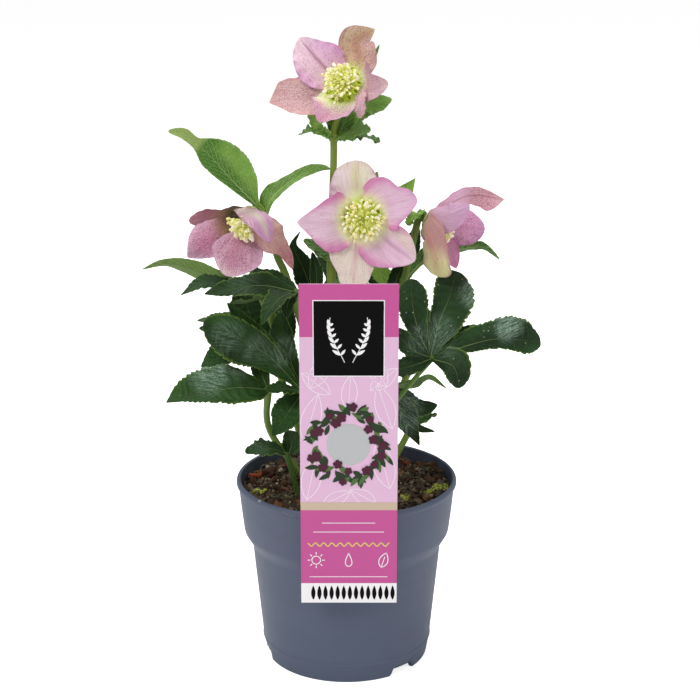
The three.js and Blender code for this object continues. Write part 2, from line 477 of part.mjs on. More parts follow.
// A blade with thickness: each point moves half the thickness to both sides along the surface's normal.
// Both faces are split along the same diagonals, and the last row is one point of each face.
function bladeSolid(spec, look) {
  const rows = bladeRows(spec, look);
  const n = rows.length;
  const m = rows[0].length;
  const middle = (m - 1) / 2;
  const slope = (i0, j0, i1, j1) => rows[i1][j1].clone().sub(rows[i0][j0]);
  const normals = rows.map((row, i) => row.map((_, j) => {
    const down = slope(Math.max(i - 1, 0), j, Math.min(i + 1, n - 1), j);
    const over = slope(i, Math.max(j - 1, 0), i, Math.min(j + 1, m - 1));
    return unit(new THREE.Vector3().crossVectors(down, over));
  }));
  normals[n - 1] = normals[n - 1].map(() => normals[n - 2][middle].clone());
  const points = [1, -1].flatMap((way) => rows.flatMap((row, i) =>
    row.map((p, j) => p.clone().addScaledVector(normals[i][j], way * bladeThick / 2))));
  const at = (i, j, back) => back * n * m + i * m + (i === n - 1 ? middle : j);
  const faces = [];
  for (let i = 0; i < n - 1; i++) {
    for (let j = 0; j < m - 1; j++) {
      for (const back of [0, 1]) {
        const [a, b, c, d] = [at(i, j, back), at(i + 1, j, back), at(i + 1, j + 1, back), at(i, j + 1, back)];
        faces.push(back ? [a, c, b] : [a, b, c], back ? [a, d, c] : [a, c, d]);
      }
    }
  }
  const rim = [];
  for (let i = 0; i < n; i++) rim.push([i, 0]);
  for (let i = n - 2; i >= 0; i--) rim.push([i, m - 1]);
  for (let j = m - 2; j > 0; j--) rim.push([0, j]);
  rim.forEach(([i, j], k) => {
    const [i2, j2] = rim[(k + 1) % rim.length];
    faces.push([at(i2, j2, 0), at(i, j, 0), at(i, j, 1)], [at(i2, j2, 0), at(i, j, 1), at(i2, j2, 1)]);
  });
  return solid(points, faces.filter(([a, b, c]) => a !== b && b !== c && c !== a));
}

// Round stalk through the ring centres, with a radius for each, its ends closed.
function stalk(centres, radii, sides) {
  const path = centres.map(vec);
  const last = path.length - 1;
  const vertices = path.flatMap((p, i) => {
    const run = unit(path[Math.min(i + 1, last)].clone().sub(path[Math.max(i - 1, 0)]));
    const e = unit(new THREE.Vector3().crossVectors(run, new THREE.Vector3(0, 1, 0.05)));
    const g = new THREE.Vector3().crossVectors(e, run);
    return Array.from({ length: sides }, (_, j) => {
      const turn = 2 * Math.PI * j / sides;
      return p.clone().addScaledVector(e, radii[i] * Math.cos(turn)).addScaledVector(g, radii[i] * Math.sin(turn));
    });
  });
  const faces = [];
  for (let i = 0; i < last; i++) {
    for (let j = 0; j < sides; j++) {
      const [a, b] = [i * sides + j, i * sides + (j + 1) % sides];
      faces.push([a, b, b + sides], [a, b + sides, a + sides]);
    }
  }
  const end = last * sides;
  for (let j = 1; j < sides - 1; j++) faces.push([0, j + 1, j], [end, end + j, end + j + 1]);
  return solid(vertices, faces);
}

// Plant stalk: upright in its hole up to the soil's top, then on a smooth curve through the points.
function plantStalk(foot, points, radii, sides, spans) {
  const [x, y] = foot;
  const route = [[x, y, soilTopZ], ...points];
  const rings = (route.length - 1) * spans;
  const centres = Array.from({ length: rings + 1 }, (_, i) => curvePoint(route, i / rings));
  const thick = centres.map((_, i) => {
    const k = Math.min(Math.floor(i / spans), radii.length - 2);
    return mix(radii[k], radii[k + 1], i / spans - k);
  });
  return stalk([[x, y, footZ], ...centres], [radii[0], ...thick], sides);
}

const knob = (centre, radius) => solidOf(new THREE.IcosahedronGeometry(radius, 0).translate(...centre));

// Turned solid: the closed outline as [radius, z] pairs.
function turned(outline, segments) {
  const profile = [...outline, outline[0]].map(([r, z]) => new THREE.Vector2(r, z));
  return solidOf(new THREE.LatheGeometry(profile, segments).rotateX(Math.PI / 2));
}

// Box between two corners.
function block(low, high) {
  const size = high.map((v, k) => v - low[k]);
  return solidOf(new THREE.BoxGeometry(...size).translate(...low.map((v, k) => v + size[k] / 2)));
}

// Pot: outline from the floor's centre, round the foot ring, up the outside and down the inside.
const outsideWall = [
  [footRadius, 0], [lowerWall.lowRadius, bead.z - bead.half], [lowerWall.lowRadius + bead.rise, bead.z],
  [lowerWall.lowRadius + 0.2, bead.z + bead.half], [lowerWall.midRadius, lowerWall.midZ],
  [lowerWall.topRadius, lowerWall.topZ], [collar.lowRadius, collar.lowZ],
  [collar.midRadius, collar.midZ], [collar.topRadius, collar.topZ],
];
const rimRoll = [
  [rimRadius - 0.2, potHeight - 3.3], [rimRadius, potHeight - 1.5],
  [rimRadius - 1, potHeight], [rimRadius - 2.7, potHeight - 0.6],
];
const insideWall = [
  [collar.topRadius - wall, collar.topZ], [collar.midRadius - wall, collar.midZ],
  [collar.lowRadius - wall, collar.lowZ + 0.6],
  [lowerWall.topRadius - wall, lowerWall.topZ + 0.6], [lowerWall.midRadius - wall, lowerWall.midZ],
  [lowerWall.lowRadius - wall - 0.6, floorZ + floorThick],
];
const potOutline = [
  [0, floorZ], [footRadius - footWidth - 0.6, floorZ], [footRadius - footWidth, 0],
  ...outsideWall, ...rimRoll, ...insideWall, [0, floorZ + floorThick],
];

function makeNotch(degrees) {
  const half = notch.width / 2;
  const shape = new THREE.Shape();
  shape.moveTo(-half, -1);
  shape.lineTo(half, -1);
  shape.lineTo(half, notch.height - 2);
  shape.quadraticCurveTo(half, notch.height, half - 2, notch.height);
  shape.lineTo(2 - half, notch.height);
  shape.quadraticCurveTo(-half, notch.height, -half, notch.height - 2);
  const arch = new THREE.ExtrudeGeometry(shape, { depth: notch.depth, bevelEnabled: false, curveSegments: 3 });
  arch.rotateX(Math.PI / 2).translate(0, -footRadius + notch.depth - 4, 0);
  return solidOf(arch.rotateZ(THREE.MathUtils.degToRad(degrees)));
}

const potSolid = notchAngles.reduce(
  (made, degrees) => made.subtract(makeNotch(degrees)), turned(potOutline, potSegments));

// Height of the soil: it rises to the crown, with lumps of three sizes.
function soilHeight(x, y) {
  const r = Math.hypot(x, y);
  const mound = moundRise * Math.max(0, 1 - r / moundReach) ** 0.8;
  const lumps = Math.sin(x * 0.31 + 1.2) * Math.cos(y * 0.27) + 0.7 * Math.sin(x * 0.13 - y * 0.38 + 2)
    + 0.5 * Math.sin(x * 0.7 + y * 0.55);
  return Math.min(soilEdgeZ + mound + lumpHeight * 0.5 * lumps, soilTopZ - 0.5);
}

function soilSolid() {
  const inside = insideWall.slice(1).map(([r, z]) => [r - fillGap, z + (z < floorZ + 3 ? fillGap : 0)]);
  const levels = [[inside[0][0] + 0.55, soilEdgeZ - 1], ...inside];
  const points = [new THREE.Vector3(0, 0, soilHeight(0, 0))];
  const ring = (radius, z) => {
    for (let j = 0; j < potSegments; j++) {
      const turn = 2 * Math.PI * j / potSegments;
      const [x, y] = [radius * Math.cos(turn), radius * Math.sin(turn)];
      points.push(new THREE.Vector3(x, y, z ?? soilHeight(x, y)));
    }
  };
  soilRings.forEach((radius) => ring(radius));
  levels.forEach(([radius, z]) => ring(radius, z));
  points.push(new THREE.Vector3(0, 0, floorZ + floorThick + fillGap));
  const rings = soilRings.length + levels.length;
  const faces = [];
  for (let j = 0; j < potSegments; j++) {
    const next = (j + 1) % potSegments;
    faces.push([0, 1 + j, 1 + next]);
    for (let i = 0; i < rings - 1; i++) {
      const [a, b] = [1 + i * potSegments + j, 1 + i * potSegments + next];
      faces.push([a, a + potSegments, b + potSegments], [a, b + potSegments, b]);
    }
    const last = 1 + (rings - 1) * potSegments;
    faces.push([points.length - 1, last + next, last + j]);
  }
  return solid(points, faces);
}

// Leaf: its stalk from the soil to the hub, where the leaflets join.
function makeLeaf(leaf) {
  const points = [...leaf.via, leaf.hub];
  const radii = [...points.map(() => petioleRadius), petioleRadius + 0.5];
  return fuse([plantStalk(leaf.foot, points, radii, 5, 2), knob(leaf.hub, hubRadius), ...leaf.blades.map(leafBlade)]);
}

const leafBlade = (spec, i) => bladeSolid(spec, {
  along: stationsOf(spec), across: 3, fold: leafFold, phase: i * 1.3, toothed: true,
});

// More stations for a longer blade, always an odd number of spans so that a tooth is last before the tip.
function stationsOf(spec) {
  const length = vec(spec.rib[0]).distanceTo(vec(spec.rib[spec.rib.length - 1]));
  return 2 * Math.round(THREE.MathUtils.clamp(length / 14, 2, 4)) + 1;
}

// Flower stem, ending square behind its flower, with the bracts on it.
function makeStem(flower) {
  const { place } = flowerFrame(flower);
  const points = [...flower.stem, place(0, 0, -neck.bend), place(0, 0, -neck.end)];
  const radii = [...flower.radii, neck.radius, neck.radius];
  const joint = flower.joint ? [knob(flower.joint, hubRadius)] : [];
  return fuse([plantStalk(flower.foot, points, radii, 6, 1), ...joint, ...flower.bracts.map(leafBlade)]);
}

// Own axes of a flower: along its axis, and two across it.
function flowerFrame(flower) {
  const centre = vec(flower.centre);
  const axis = unit(vec(flower.axis));
  const e = unit(new THREE.Vector3().crossVectors(axis, new THREE.Vector3(0.1, 0.2, 1)));
  const g = new THREE.Vector3().crossVectors(axis, e);
  const place = (radius, turn, height) => centre.clone().addScaledVector(axis, height)
    .addScaledVector(e, radius * Math.cos(turn)).addScaledVector(g, radius * Math.sin(turn)).toArray();
  return { centre, axis, place };
}

function makeSepals(flower) {
  const { centre, axis, place } = flowerFrame(flower);
  const focus = centre.clone().addScaledVector(axis, flower.reach);
  const blades = flower.sepals.map((spec, i) => bladeSolid(spec, {
    along: 7, across: 5, cup: flower.cup, wave: sepalWave, phase: i * 1.7, focus: spec.face ? null : focus,
  }));
  const ends = [place(0, 0, -disc.below), place(0, 0, disc.above)];
  return fuse([stalk(ends, [disc.radius, disc.radius], disc.sides), ...blades]);
}

// Nectaries: a low hoop, and on it a ring of small tubes that lean outwards.
function makeNectaries(flower) {
  const { place, axis, centre } = flowerFrame(flower);
  const { count, halfWidth, height, rise, twist, rootThick, tipThick } = nectary;
  const { heart, ring, ringZ, flare } = flower;
  const half = halfWidth * heart;
  const outline = [[ring - half, ringZ], [ring + half, ringZ], [ring, ringZ + height], [ring - half, ringZ]];
  const hoop = new THREE.LatheGeometry(outline.map(([r, z]) => new THREE.Vector2(r, z)), count);
  const tilt = new THREE.Quaternion().setFromUnitVectors(new THREE.Vector3(0, 1, 0), axis);
  hoop.applyQuaternion(tilt).translate(...centre);
  const cups = Array.from({ length: count }, (_, i) => {
    const turn = 2 * Math.PI * i / count;
    const root = place(ring, turn, ringZ + height * 0.4);
    const tip = place(ring + flare * heart, turn + twist, ringZ + height + rise);
    return stalk([root, tip], [rootThick * heart, tipThick * heart], 4);
  });
  return fuse([solidOf(hoop), ...cups]);
}

function makeStamens(flower) {
  const { place } = flowerFrame(flower);
  const { domeZ, domeRadius, length, shorten, spread, rootThick, tipThick } = stamen;
  const inside = domeRadius * flower.heart;
  const dome = solidOf(new THREE.IcosahedronGeometry(inside, 1).translate(...place(0, 0, domeZ)));
  const clubs = Array.from({ length: flower.stamens }, (_, i) => {
    const share = (i + 0.5) / flower.stamens;
    const lean = THREE.MathUtils.degToRad(spread * flower.spread) * Math.sqrt(share);
    const out = (far) => place(far * Math.sin(lean), i * goldenAngle, domeZ + far * Math.cos(lean));
    return stalk([out(inside * 0.7), out(length - shorten * share)], [rootThick, tipThick], 3);
  });
  return fuse([dome, ...clubs]);
}

// Label: a card, and a leg drawn in side view as [y, z] and pulled through along X.
function makeLabel() {
  const { left, right, low, high, back, thick } = card;
  const board = block([left, back - thick, low], [right, back, high]);
  const side = new THREE.Shape([
    [back - 0.2, leg.top], [leg.front + leg.thick, leg.bend], [leg.front + leg.thick, leg.low], [leg.front, leg.low],
    [leg.front, leg.bend - 0.5], [back - 0.2, leg.top - 0.9],
  ].map(([y, z]) => new THREE.Vector2(y, z)));
  const hook = new THREE.ExtrudeGeometry(side, { depth: leg.right - leg.left, bevelEnabled: false });
  hook.applyMatrix4(new THREE.Matrix4().makeBasis(
    new THREE.Vector3(0, 1, 0), new THREE.Vector3(0, 0, 1), new THREE.Vector3(1, 0, 0))).translate(leg.left, 0, 0);
  return board.add(solidOf(hook));
}

const legSlot = block(
  [leg.left - legGap, leg.front - legGap, leg.low - legGap],
  [leg.right + legGap, leg.front + leg.thick + legGap, potHeight],
);

// Hole in the soil round the upright foot of a stalk, a little deeper and wider than it.
function hole([x, y], radius) {
  const wide = radius + holeGap;
  return stalk([[x, y, footZ - holeGap], [x, y, potHeight]], [wide, wide], 6);
}

const holes = [
  ...Object.values(leaves).map((leaf) => hole(leaf.foot, petioleRadius)),
  ...Object.values(flowers).map((flower) => hole(flower.foot, flower.radii[0])),
];

const soil = holes.reduce((made, cut) => made.subtract(cut), soilSolid()).subtract(legSlot);

const root = new THREE.Group();
root.add(meshOf('pot', potSolid, '#5b6370', 0.45));
root.add(meshOf('soil', soil, '#33231a', 0.95));
root.add(meshOf('label', makeLabel(), '#d9a9c4', 0.4));
for (const [name, leaf] of Object.entries(leaves)) root.add(meshOf(`leaf_${name}`, makeLeaf(leaf), '#2f4a26', 0.45));
for (const [name, flower] of Object.entries(flowers)) {
  root.add(meshOf(`stem_${name}`, makeStem(flower), '#7d9a45', 0.5));
  root.add(meshOf(`sepals_${name}`, makeSepals(flower), '#c69a93', 0.5));
  root.add(meshOf(`nectaries_${name}`, makeNectaries(flower), '#a9b93c', 0.5));
  root.add(meshOf(`stamens_${name}`, makeStamens(flower), '#ead9b4', 0.6));
}
export default root;
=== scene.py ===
import math

import bpy
import numpy as np
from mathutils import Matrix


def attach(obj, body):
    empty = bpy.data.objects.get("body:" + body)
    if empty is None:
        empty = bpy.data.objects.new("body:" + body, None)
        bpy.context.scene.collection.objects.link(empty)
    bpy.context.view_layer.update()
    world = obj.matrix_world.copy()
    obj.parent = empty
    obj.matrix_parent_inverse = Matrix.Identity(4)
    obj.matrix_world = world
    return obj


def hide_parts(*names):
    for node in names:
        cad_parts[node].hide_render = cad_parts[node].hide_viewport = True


# Hellebore in its nursery pot. Places and sizes are in millimetres, made into metres where a mesh is built.
# Z is up and the front of the plant faces -Y. Colours are written as screen colours.
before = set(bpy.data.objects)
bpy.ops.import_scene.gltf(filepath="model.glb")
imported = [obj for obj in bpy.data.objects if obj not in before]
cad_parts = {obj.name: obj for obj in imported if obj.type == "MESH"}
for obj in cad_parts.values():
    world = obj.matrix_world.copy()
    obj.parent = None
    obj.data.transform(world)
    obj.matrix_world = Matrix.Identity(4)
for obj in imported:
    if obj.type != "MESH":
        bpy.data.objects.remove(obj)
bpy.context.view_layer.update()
mm = 0.001

scene = bpy.context.scene
scene.view_settings.view_transform = "Standard"


# Camera at the viewing angle: low, looking a little down on the pot.
def makeCamera():
    place = dict(x=1.9, y=-820, z=408, down=16, lens=82.2, sensor=36)
    data = bpy.data.cameras.new("camera")
    data.lens = place["lens"]
    data.sensor_width = place["sensor"]
    data.clip_start = 0.01
    camera = bpy.data.objects.new("camera", data)
    camera.location = (place["x"] * mm, place["y"] * mm, place["z"] * mm)
    camera.rotation_euler = (math.radians(90 - place["down"]), 0, 0)
    scene.collection.objects.link(camera)
    scene.camera = camera


makeCamera()


# Vectors divided by their lengths.
def unit(v):
    return v / np.maximum(np.linalg.norm(v, axis=-1, keepdims=True), 1e-12)


# A smooth step from 0 to 1 between two limits: 3x2 - 2x3 of the clipped share.
def smooth(x, low, high):
    t = np.clip((x - low) / (high - low), 0, 1)
    return t * t * (3 - 2 * t)


# Screen colour "#rrggbb" as linear red, green, blue.
def colour(code):
    parts = [int(code[i:i + 2], 16) / 255 for i in (1, 3, 5)]
    return np.array([c / 12.92 if c <= 0.04045 else ((c + 0.055) / 1.055) ** 2.4 for c in parts])


# a x (1 - share) + b x share, for one or many shares.
def blend(a, b, share):
    share = np.asarray(share)[..., None]
    return a * (1 - share) + b * share


# Smooth curve through control points (Catmull-Rom, ends mirrored) at shares t from 0 to 1.
def curve(points, t):
    p = np.asarray(points, float)
    spans = len(p) - 1
    p = np.vstack([2 * p[0] - p[1], p, 2 * p[-1] - p[-2]])
    at = np.clip(np.asarray(t, float) * spans, 0, spans - 1e-9)
    i = at.astype(int)
    f = (at - i)[:, None]
    a, b, c, d = p[i], p[i + 1], p[i + 2], p[i + 3]
    bend, twist = 2 * a - 5 * b + 4 * c - d, 3 * b - a - 3 * c + d
    return 0.5 * (2 * b + (c - a) * f + bend * f ** 2 + twist * f ** 3)


# The same curve at even distances: places, directions and the distance run at each.
def evenCurve(points, count, fineSteps=240):
    fine = curve(points, np.linspace(0, 1, fineSteps + 1))
    run = np.concatenate([[0], np.cumsum(np.linalg.norm(np.diff(fine, axis=0), axis=1))])
    want = np.linspace(0, run[-1], count)
    place = np.stack([np.interp(want, run, fine[:, k]) for k in range(3)], 1)
    slope = unit(np.gradient(fine, run, axis=0))
    along = unit(np.stack([np.interp(want, run, slope[:, k]) for k in range(3)], 1))
    return place, along, want


# Half width at s from widths at even stations before the tip, where it is 0. The power makes the end round
# (2) or pointed (1): the curve runs through the widths to that power, and its root is the half width.
def halfWidth(values, s, power):
    lifted = np.array([*values, 0], float)[:, None] ** power
    return np.clip(curve(lifted, s)[:, 0], 0, None) ** (1 / power)


# Half widths of a plain oval blade at even stations of its rib.
def oval(half):
    return [share * half for share in (0.18, 0.6, 0.9, 1, 0.92, 0.62)]


# Sum of sines with seeded directions and phases: a smooth random field of about -1 to 1 over points.
def ripples(points, scale, seed, waves=7):
    rng = np.random.default_rng(seed)
    way = unit(rng.normal(size=(waves, points.shape[-1]))) * scale * rng.uniform(0.6, 1.6, (waves, 1))
    return np.sin(points @ way.T + rng.uniform(0, 2 * np.pi, waves)).sum(-1) / math.sqrt(waves * 2)


# Angles at even steps once round.
def fullTurn(count):
    return np.linspace(0, 2 * np.pi, count, endpoint=False)


# A piece gathers closed skins: points, faces, and at each point its colour, flat (mm across, mm along, share
# of the length) and marks (speckles, underside, and the piece's own number, or on a leaf its painted sheen).
def newPiece():
    return dict(points=[], quads=[], tris=[], tint=[], flat=[], marks=[], count=0)


# One value, or one for each row or point, as three numbers for every point of a grid.
def fill(value, shape):
    return np.broadcast_to(np.asarray(value, float), shape + (3,)).reshape(-1, 3)


# Adds a closed skin: n rings of k points each, with a pole at both ends, or looped into a ring of rings. Its
# faces are turned outwards by the sign of its volume, the sum of corner a x (b x c) over its triangles.
def addSkin(piece, rings, tint, flat=(0, 0, 0), marks=(0, 0, 0), poles=None, looped=False):
    n, k = rings.shape[:2]
    index = np.arange(n * k).reshape(n, k)
    if looped:
        index = np.vstack([index, index[:1]])
    nextIndex = np.roll(index, -1, axis=1)
    quads = np.stack([index[:-1], nextIndex[:-1], nextIndex[1:], index[1:]], -1).reshape(-1, 4)
    points = rings.reshape(-1, 3)
    tints, flats, marksAll = fill(tint, (n, k)), fill(flat, (n, k)), fill(marks, (n, k))
    tris = np.zeros((0, 3), int)
    if not looped:
        first, last = poles if poles is not None else (rings[0].mean(0), rings[-1].mean(0))
        start, end = n * k, n * k + 1
        tris = np.vstack([
            np.stack([nextIndex[0], index[0], np.full(k, start)], -1),
            np.stack([index[-1], nextIndex[-1], np.full(k, end)], -1)])
        points = np.vstack([points, first, last])
        tints, flats, marksAll = (np.vstack([a, a[:k].mean(0), a[n * k - k:].mean(0)])
                                  for a in (tints, flats, marksAll))
    corner = points[np.vstack([quads[:, [0, 1, 2]], quads[:, [0, 2, 3]], tris])]
    volume = np.einsum("ij,ij->i", corner[:, 0], np.cross(corner[:, 1], corner[:, 2])).sum()
    if volume < 0:
        quads, tris = quads[:, ::-1], tris[:, ::-1]
    piece["points"].append(points)
    piece["quads"].append(quads + piece["count"])
    piece["tris"].append(tris + piece["count"])
    piece["tint"].append(tints)
    piece["flat"].append(flats)
    piece["marks"].append(marksAll)
    piece["count"] += len(points)


# Makes the Blender object of a piece, rides it on the root body and hides the CAD nodes it stands for.
def finishPiece(piece, name, material, nodes=(), smoothShade=True):
    points = np.vstack(piece["points"]) * mm
    quads, tris = np.vstack(piece["quads"]), np.vstack(piece["tris"])
    mesh = bpy.data.meshes.new(name)
    mesh.vertices.add(len(points))
    mesh.vertices.foreach_set("co", points.astype(np.float32).ravel())
    loops = np.concatenate([quads.ravel(), tris.ravel()]).astype(np.int32)
    starts = np.concatenate([np.arange(len(quads)) * 4, len(quads) * 4 + np.arange(len(tris)) * 3])
    mesh.loops.add(len(loops))
    mesh.loops.foreach_set("vertex_index", loops)
    mesh.polygons.add(len(starts))
    mesh.polygons.foreach_set("loop_start", starts.astype(np.int32))
    mesh.polygons.foreach_set("use_smooth", np.full(len(starts), smoothShade))
    mesh.update(calc_edges=True)
    tint = np.vstack(piece["tint"])
    rgba = np.hstack([np.clip(tint, 0, 1), np.ones((len(tint), 1))]).astype(np.float32)
    mesh.attributes.new("tint", "FLOAT_COLOR", "POINT").data.foreach_set("color", rgba.ravel())
    for key in ("flat", "marks"):
        values = np.vstack(piece[key]).astype(np.float32)
        mesh.attributes.new(key, "FLOAT_VECTOR", "POINT").data.foreach_set("vector", values.ravel())
    mesh.materials.append(material)
    made = bpy.data.objects.new(name, mesh)
    scene.collection.objects.link(made)
    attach(made, "root")
    if nodes:
        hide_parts(*nodes)
    print(name, len(quads) * 2 + len(tris), "triangles")


# Finishes the finer piece that stands for one CAD node.
def finishNode(piece, node, material):
    finishPiece(piece, node + "_fine", material, [node])


# Frame across a path: two unit vectors square to its direction at each place.
def across(along):
    e = unit(np.cross(along, np.array([0.0, 1.0, 0.05])))
    return e, np.cross(e, along)


# Round stalk through places with a radius at each, times 1 + lobes x cos(5 turn), which makes it slightly
# ridged. It is flat in (turn, share along in hundredths, share along).
def addStalk(piece, place, along, radius, sides, tint, lobes=0.0, marks=(0, 0, 0)):
    e, g = across(along)
    turn = fullTurn(sides)
    r = np.asarray(radius)[:, None] * (1 + lobes * np.cos(5 * turn))[None, :]
    rings = place[:, None] + r[..., None] * (
        e[:, None] * np.cos(turn)[None, :, None] + g[:, None] * np.sin(turn)[None, :, None])
    s = np.linspace(0, 1, len(place))[:, None] + 0 * turn
    flat = np.stack([turn * 2 + 0 * s, s * 100, s], -1)
    addSkin(piece, rings, tint, flat, marks)


# Shares of the half width across a blade, from -1 to 1, closer together towards its edges.
def acrossShares(wide):
    t = np.linspace(-1, 1, wide)[None, :]
    return np.sign(t) * (1 - (1 - np.abs(t)) ** 1.6)


# What a blade has where its look says nothing; lengths in mm, the fold in degrees.
plainBlade = dict(focus=None, teeth=0, toothDepth=0, wobble=0, fold=0, phase=0, wave=0, frill=0, pleat=0,
                  pleatStep=5, cup=0, thick=0.5, keel=0, speckle=0, backSpeckle=0.6)
plainTip = 1.6
veinLean = 2.2  # how far side veins and pleats run forward for each mm that they run out


# Surface of a blade: u runs across its rib from -1 to 1, and s along it from 0 to 1. Each row rises with the
# fold and the cup, ripples towards its edge, and is cut back between the uneven teeth, which lean forward.
# Its flat coordinates are (mm across, mm along, s).
def bladeGrid(spec, look, along, wide):
    place, run, distance = evenCurve(spec["rib"], along)
    s, u = np.linspace(0, 1, along)[:, None], acrossShares(wide)
    if look["focus"] is not None:
        facing = unit(look["focus"] - place)
    else:
        first = np.array(spec["face"], float)
        facing = unit(unit(first) * (1 - s) + unit(np.array(spec.get("faceTip", first), float)) * s)
    normal = unit(facing - np.sum(facing * run, 1, keepdims=True) * run)
    side = np.cross(run, normal)
    power = spec.get("tipRound", plainTip)
    right, left = (halfWidth(spec.get(way, spec.get("half")), s[:, 0], power)[:, None]
                   for way in ("right", "left"))
    h = np.where(u > 0, right, left)
    h[-1] = 0
    number, saw = np.divmod(s * look["teeth"] + 1e-6, 1.0)
    depth = look["toothDepth"] * smooth(s, 0.12, 0.35) * (1 + 0.45 * np.sin(2.7 * number + look["seed"]))
    cut = 1 - depth * (1 - saw) ** 1.5 * np.abs(u) ** 3
    wobble = look["wobble"] * ripples(np.stack([s * 9 + 0 * u, u * 1.5 + 0 * s], -1), 1, look["seed"])
    x = h * u * cut * (1 + wobble * np.abs(u) ** 2)
    fold, phase, way = math.radians(look["fold"]), look["phase"], np.sign(u)
    shareWide = np.clip(h / max(h.max(), 1), 0, 1)
    wave = look["wave"] * np.sin(2 * np.pi * 2.2 * s + phase + 1.3 * way) * u ** 2 * shareWide
    frill = look["frill"] * np.sin(2 * np.pi * 6.3 * s + 2.1 * phase + 2.2 * way) * u ** 4 * shareWide
    ridges = np.cos(2 * np.pi * (distance[:, None] - veinLean * np.abs(x)) / look["pleatStep"])
    pleat = look["pleat"] * ridges * smooth(np.abs(x), 0.5, 3) * smooth(1 - s, 0, 0.2)
    lift = np.abs(x) * math.sin(fold) + look["cup"] * h * u ** 2 + wave + frill + pleat
    grid = place[:, None] + side[:, None] * (x * math.cos(fold))[..., None] \
        + normal[:, None] * lift[..., None]
    return grid, np.stack([x, distance[:, None] + 0 * x, s + 0 * x], -1)


# Rows of a face, each followed by its row of the back, which runs the other way; the last one is left out.
def bothSides(face, back):
    return np.concatenate([face[:-1], back[:-1, ::-1]], 1)


# Adds a blade with thickness. tintOf gives the colours of face and back from (s, u, x, distance, up).
def addBlade(piece, spec, look, along, wide, tintOf):
    look = {**plainBlade, **look}
    grid, flat = bladeGrid(spec, look, along, wide)
    down, over = np.gradient(grid, axis=0), np.gradient(grid, axis=1)
    normal = unit(np.cross(over, down))
    normal[-1] = normal[-2]
    u = acrossShares(wide) + np.zeros((along, 1))
    s = np.linspace(0, 1, along)[:, None] + 0 * u
    thick = look["thick"] * (1 - 0.55 * u ** 4) * (1 - 0.4 * s)
    keel = look["keel"] * np.exp(-(flat[..., 0] / 0.9) ** 2) * (1 - s) ** 0.7
    front = grid + normal * (thick / 2)[..., None]
    back = grid - normal * (thick / 2 + keel)[..., None]
    tints = bothSides(*tintOf(s, u, flat[..., 0], flat[..., 1], normal[..., 2]))
    speckle = look["speckleOf"](s, u) if "speckleOf" in look else np.full_like(s, look["speckle"])
    number, none = np.full_like(s, look["seed"] % 97), np.zeros_like(s)
    # On a leaf the third mark is its painted sheen, a highlight painted into the colour; otherwise the own
    # number.
    sheen, ownNumber = (look["sheenOf"](grid), none) if "sheenOf" in look else (number, number)
    faceMarks = np.stack([speckle, none, sheen], -1)
    backMarks = np.stack([speckle * look["backSpeckle"], np.ones_like(s), ownNumber], -1)
    rings = bothSides(front, back)
    poles = (rings[0].mean(0), grid[-1, wide // 2])
    addSkin(piece, rings, tints, bothSides(flat, flat), bothSides(faceMarks, backMarks), poles)


# Stalk from the foot in the soil, upright up to its top, then on a smooth curve through the points.
uprightZ = (84, 92, 99)


def stalkPath(foot, points, count):
    return evenCurve([*([*foot, z] for z in uprightZ), *points], count)


# A value that a node puts out. A sum of such values and numbers becomes a node of its own.
class Signal:
    def __init__(self, writer, socket):
        self.writer = writer
        self.socket = socket


for sign, kind in dict(add="ADD", sub="SUBTRACT", mul="MULTIPLY", truediv="DIVIDE").items():
    setattr(Signal, f"__{sign}__", lambda a, b, kind=kind: a.writer.calc(kind, a, b))
    setattr(Signal, f"__r{sign}__", lambda a, b, kind=kind: a.writer.calc(kind, b, a))


# All that a node puts out, by name or number.
class Outputs:
    def __init__(self, writer, sockets):
        self.writer = writer
        self.sockets = sockets

    def __getitem__(self, key):
        return Signal(self.writer, self.sockets[key])


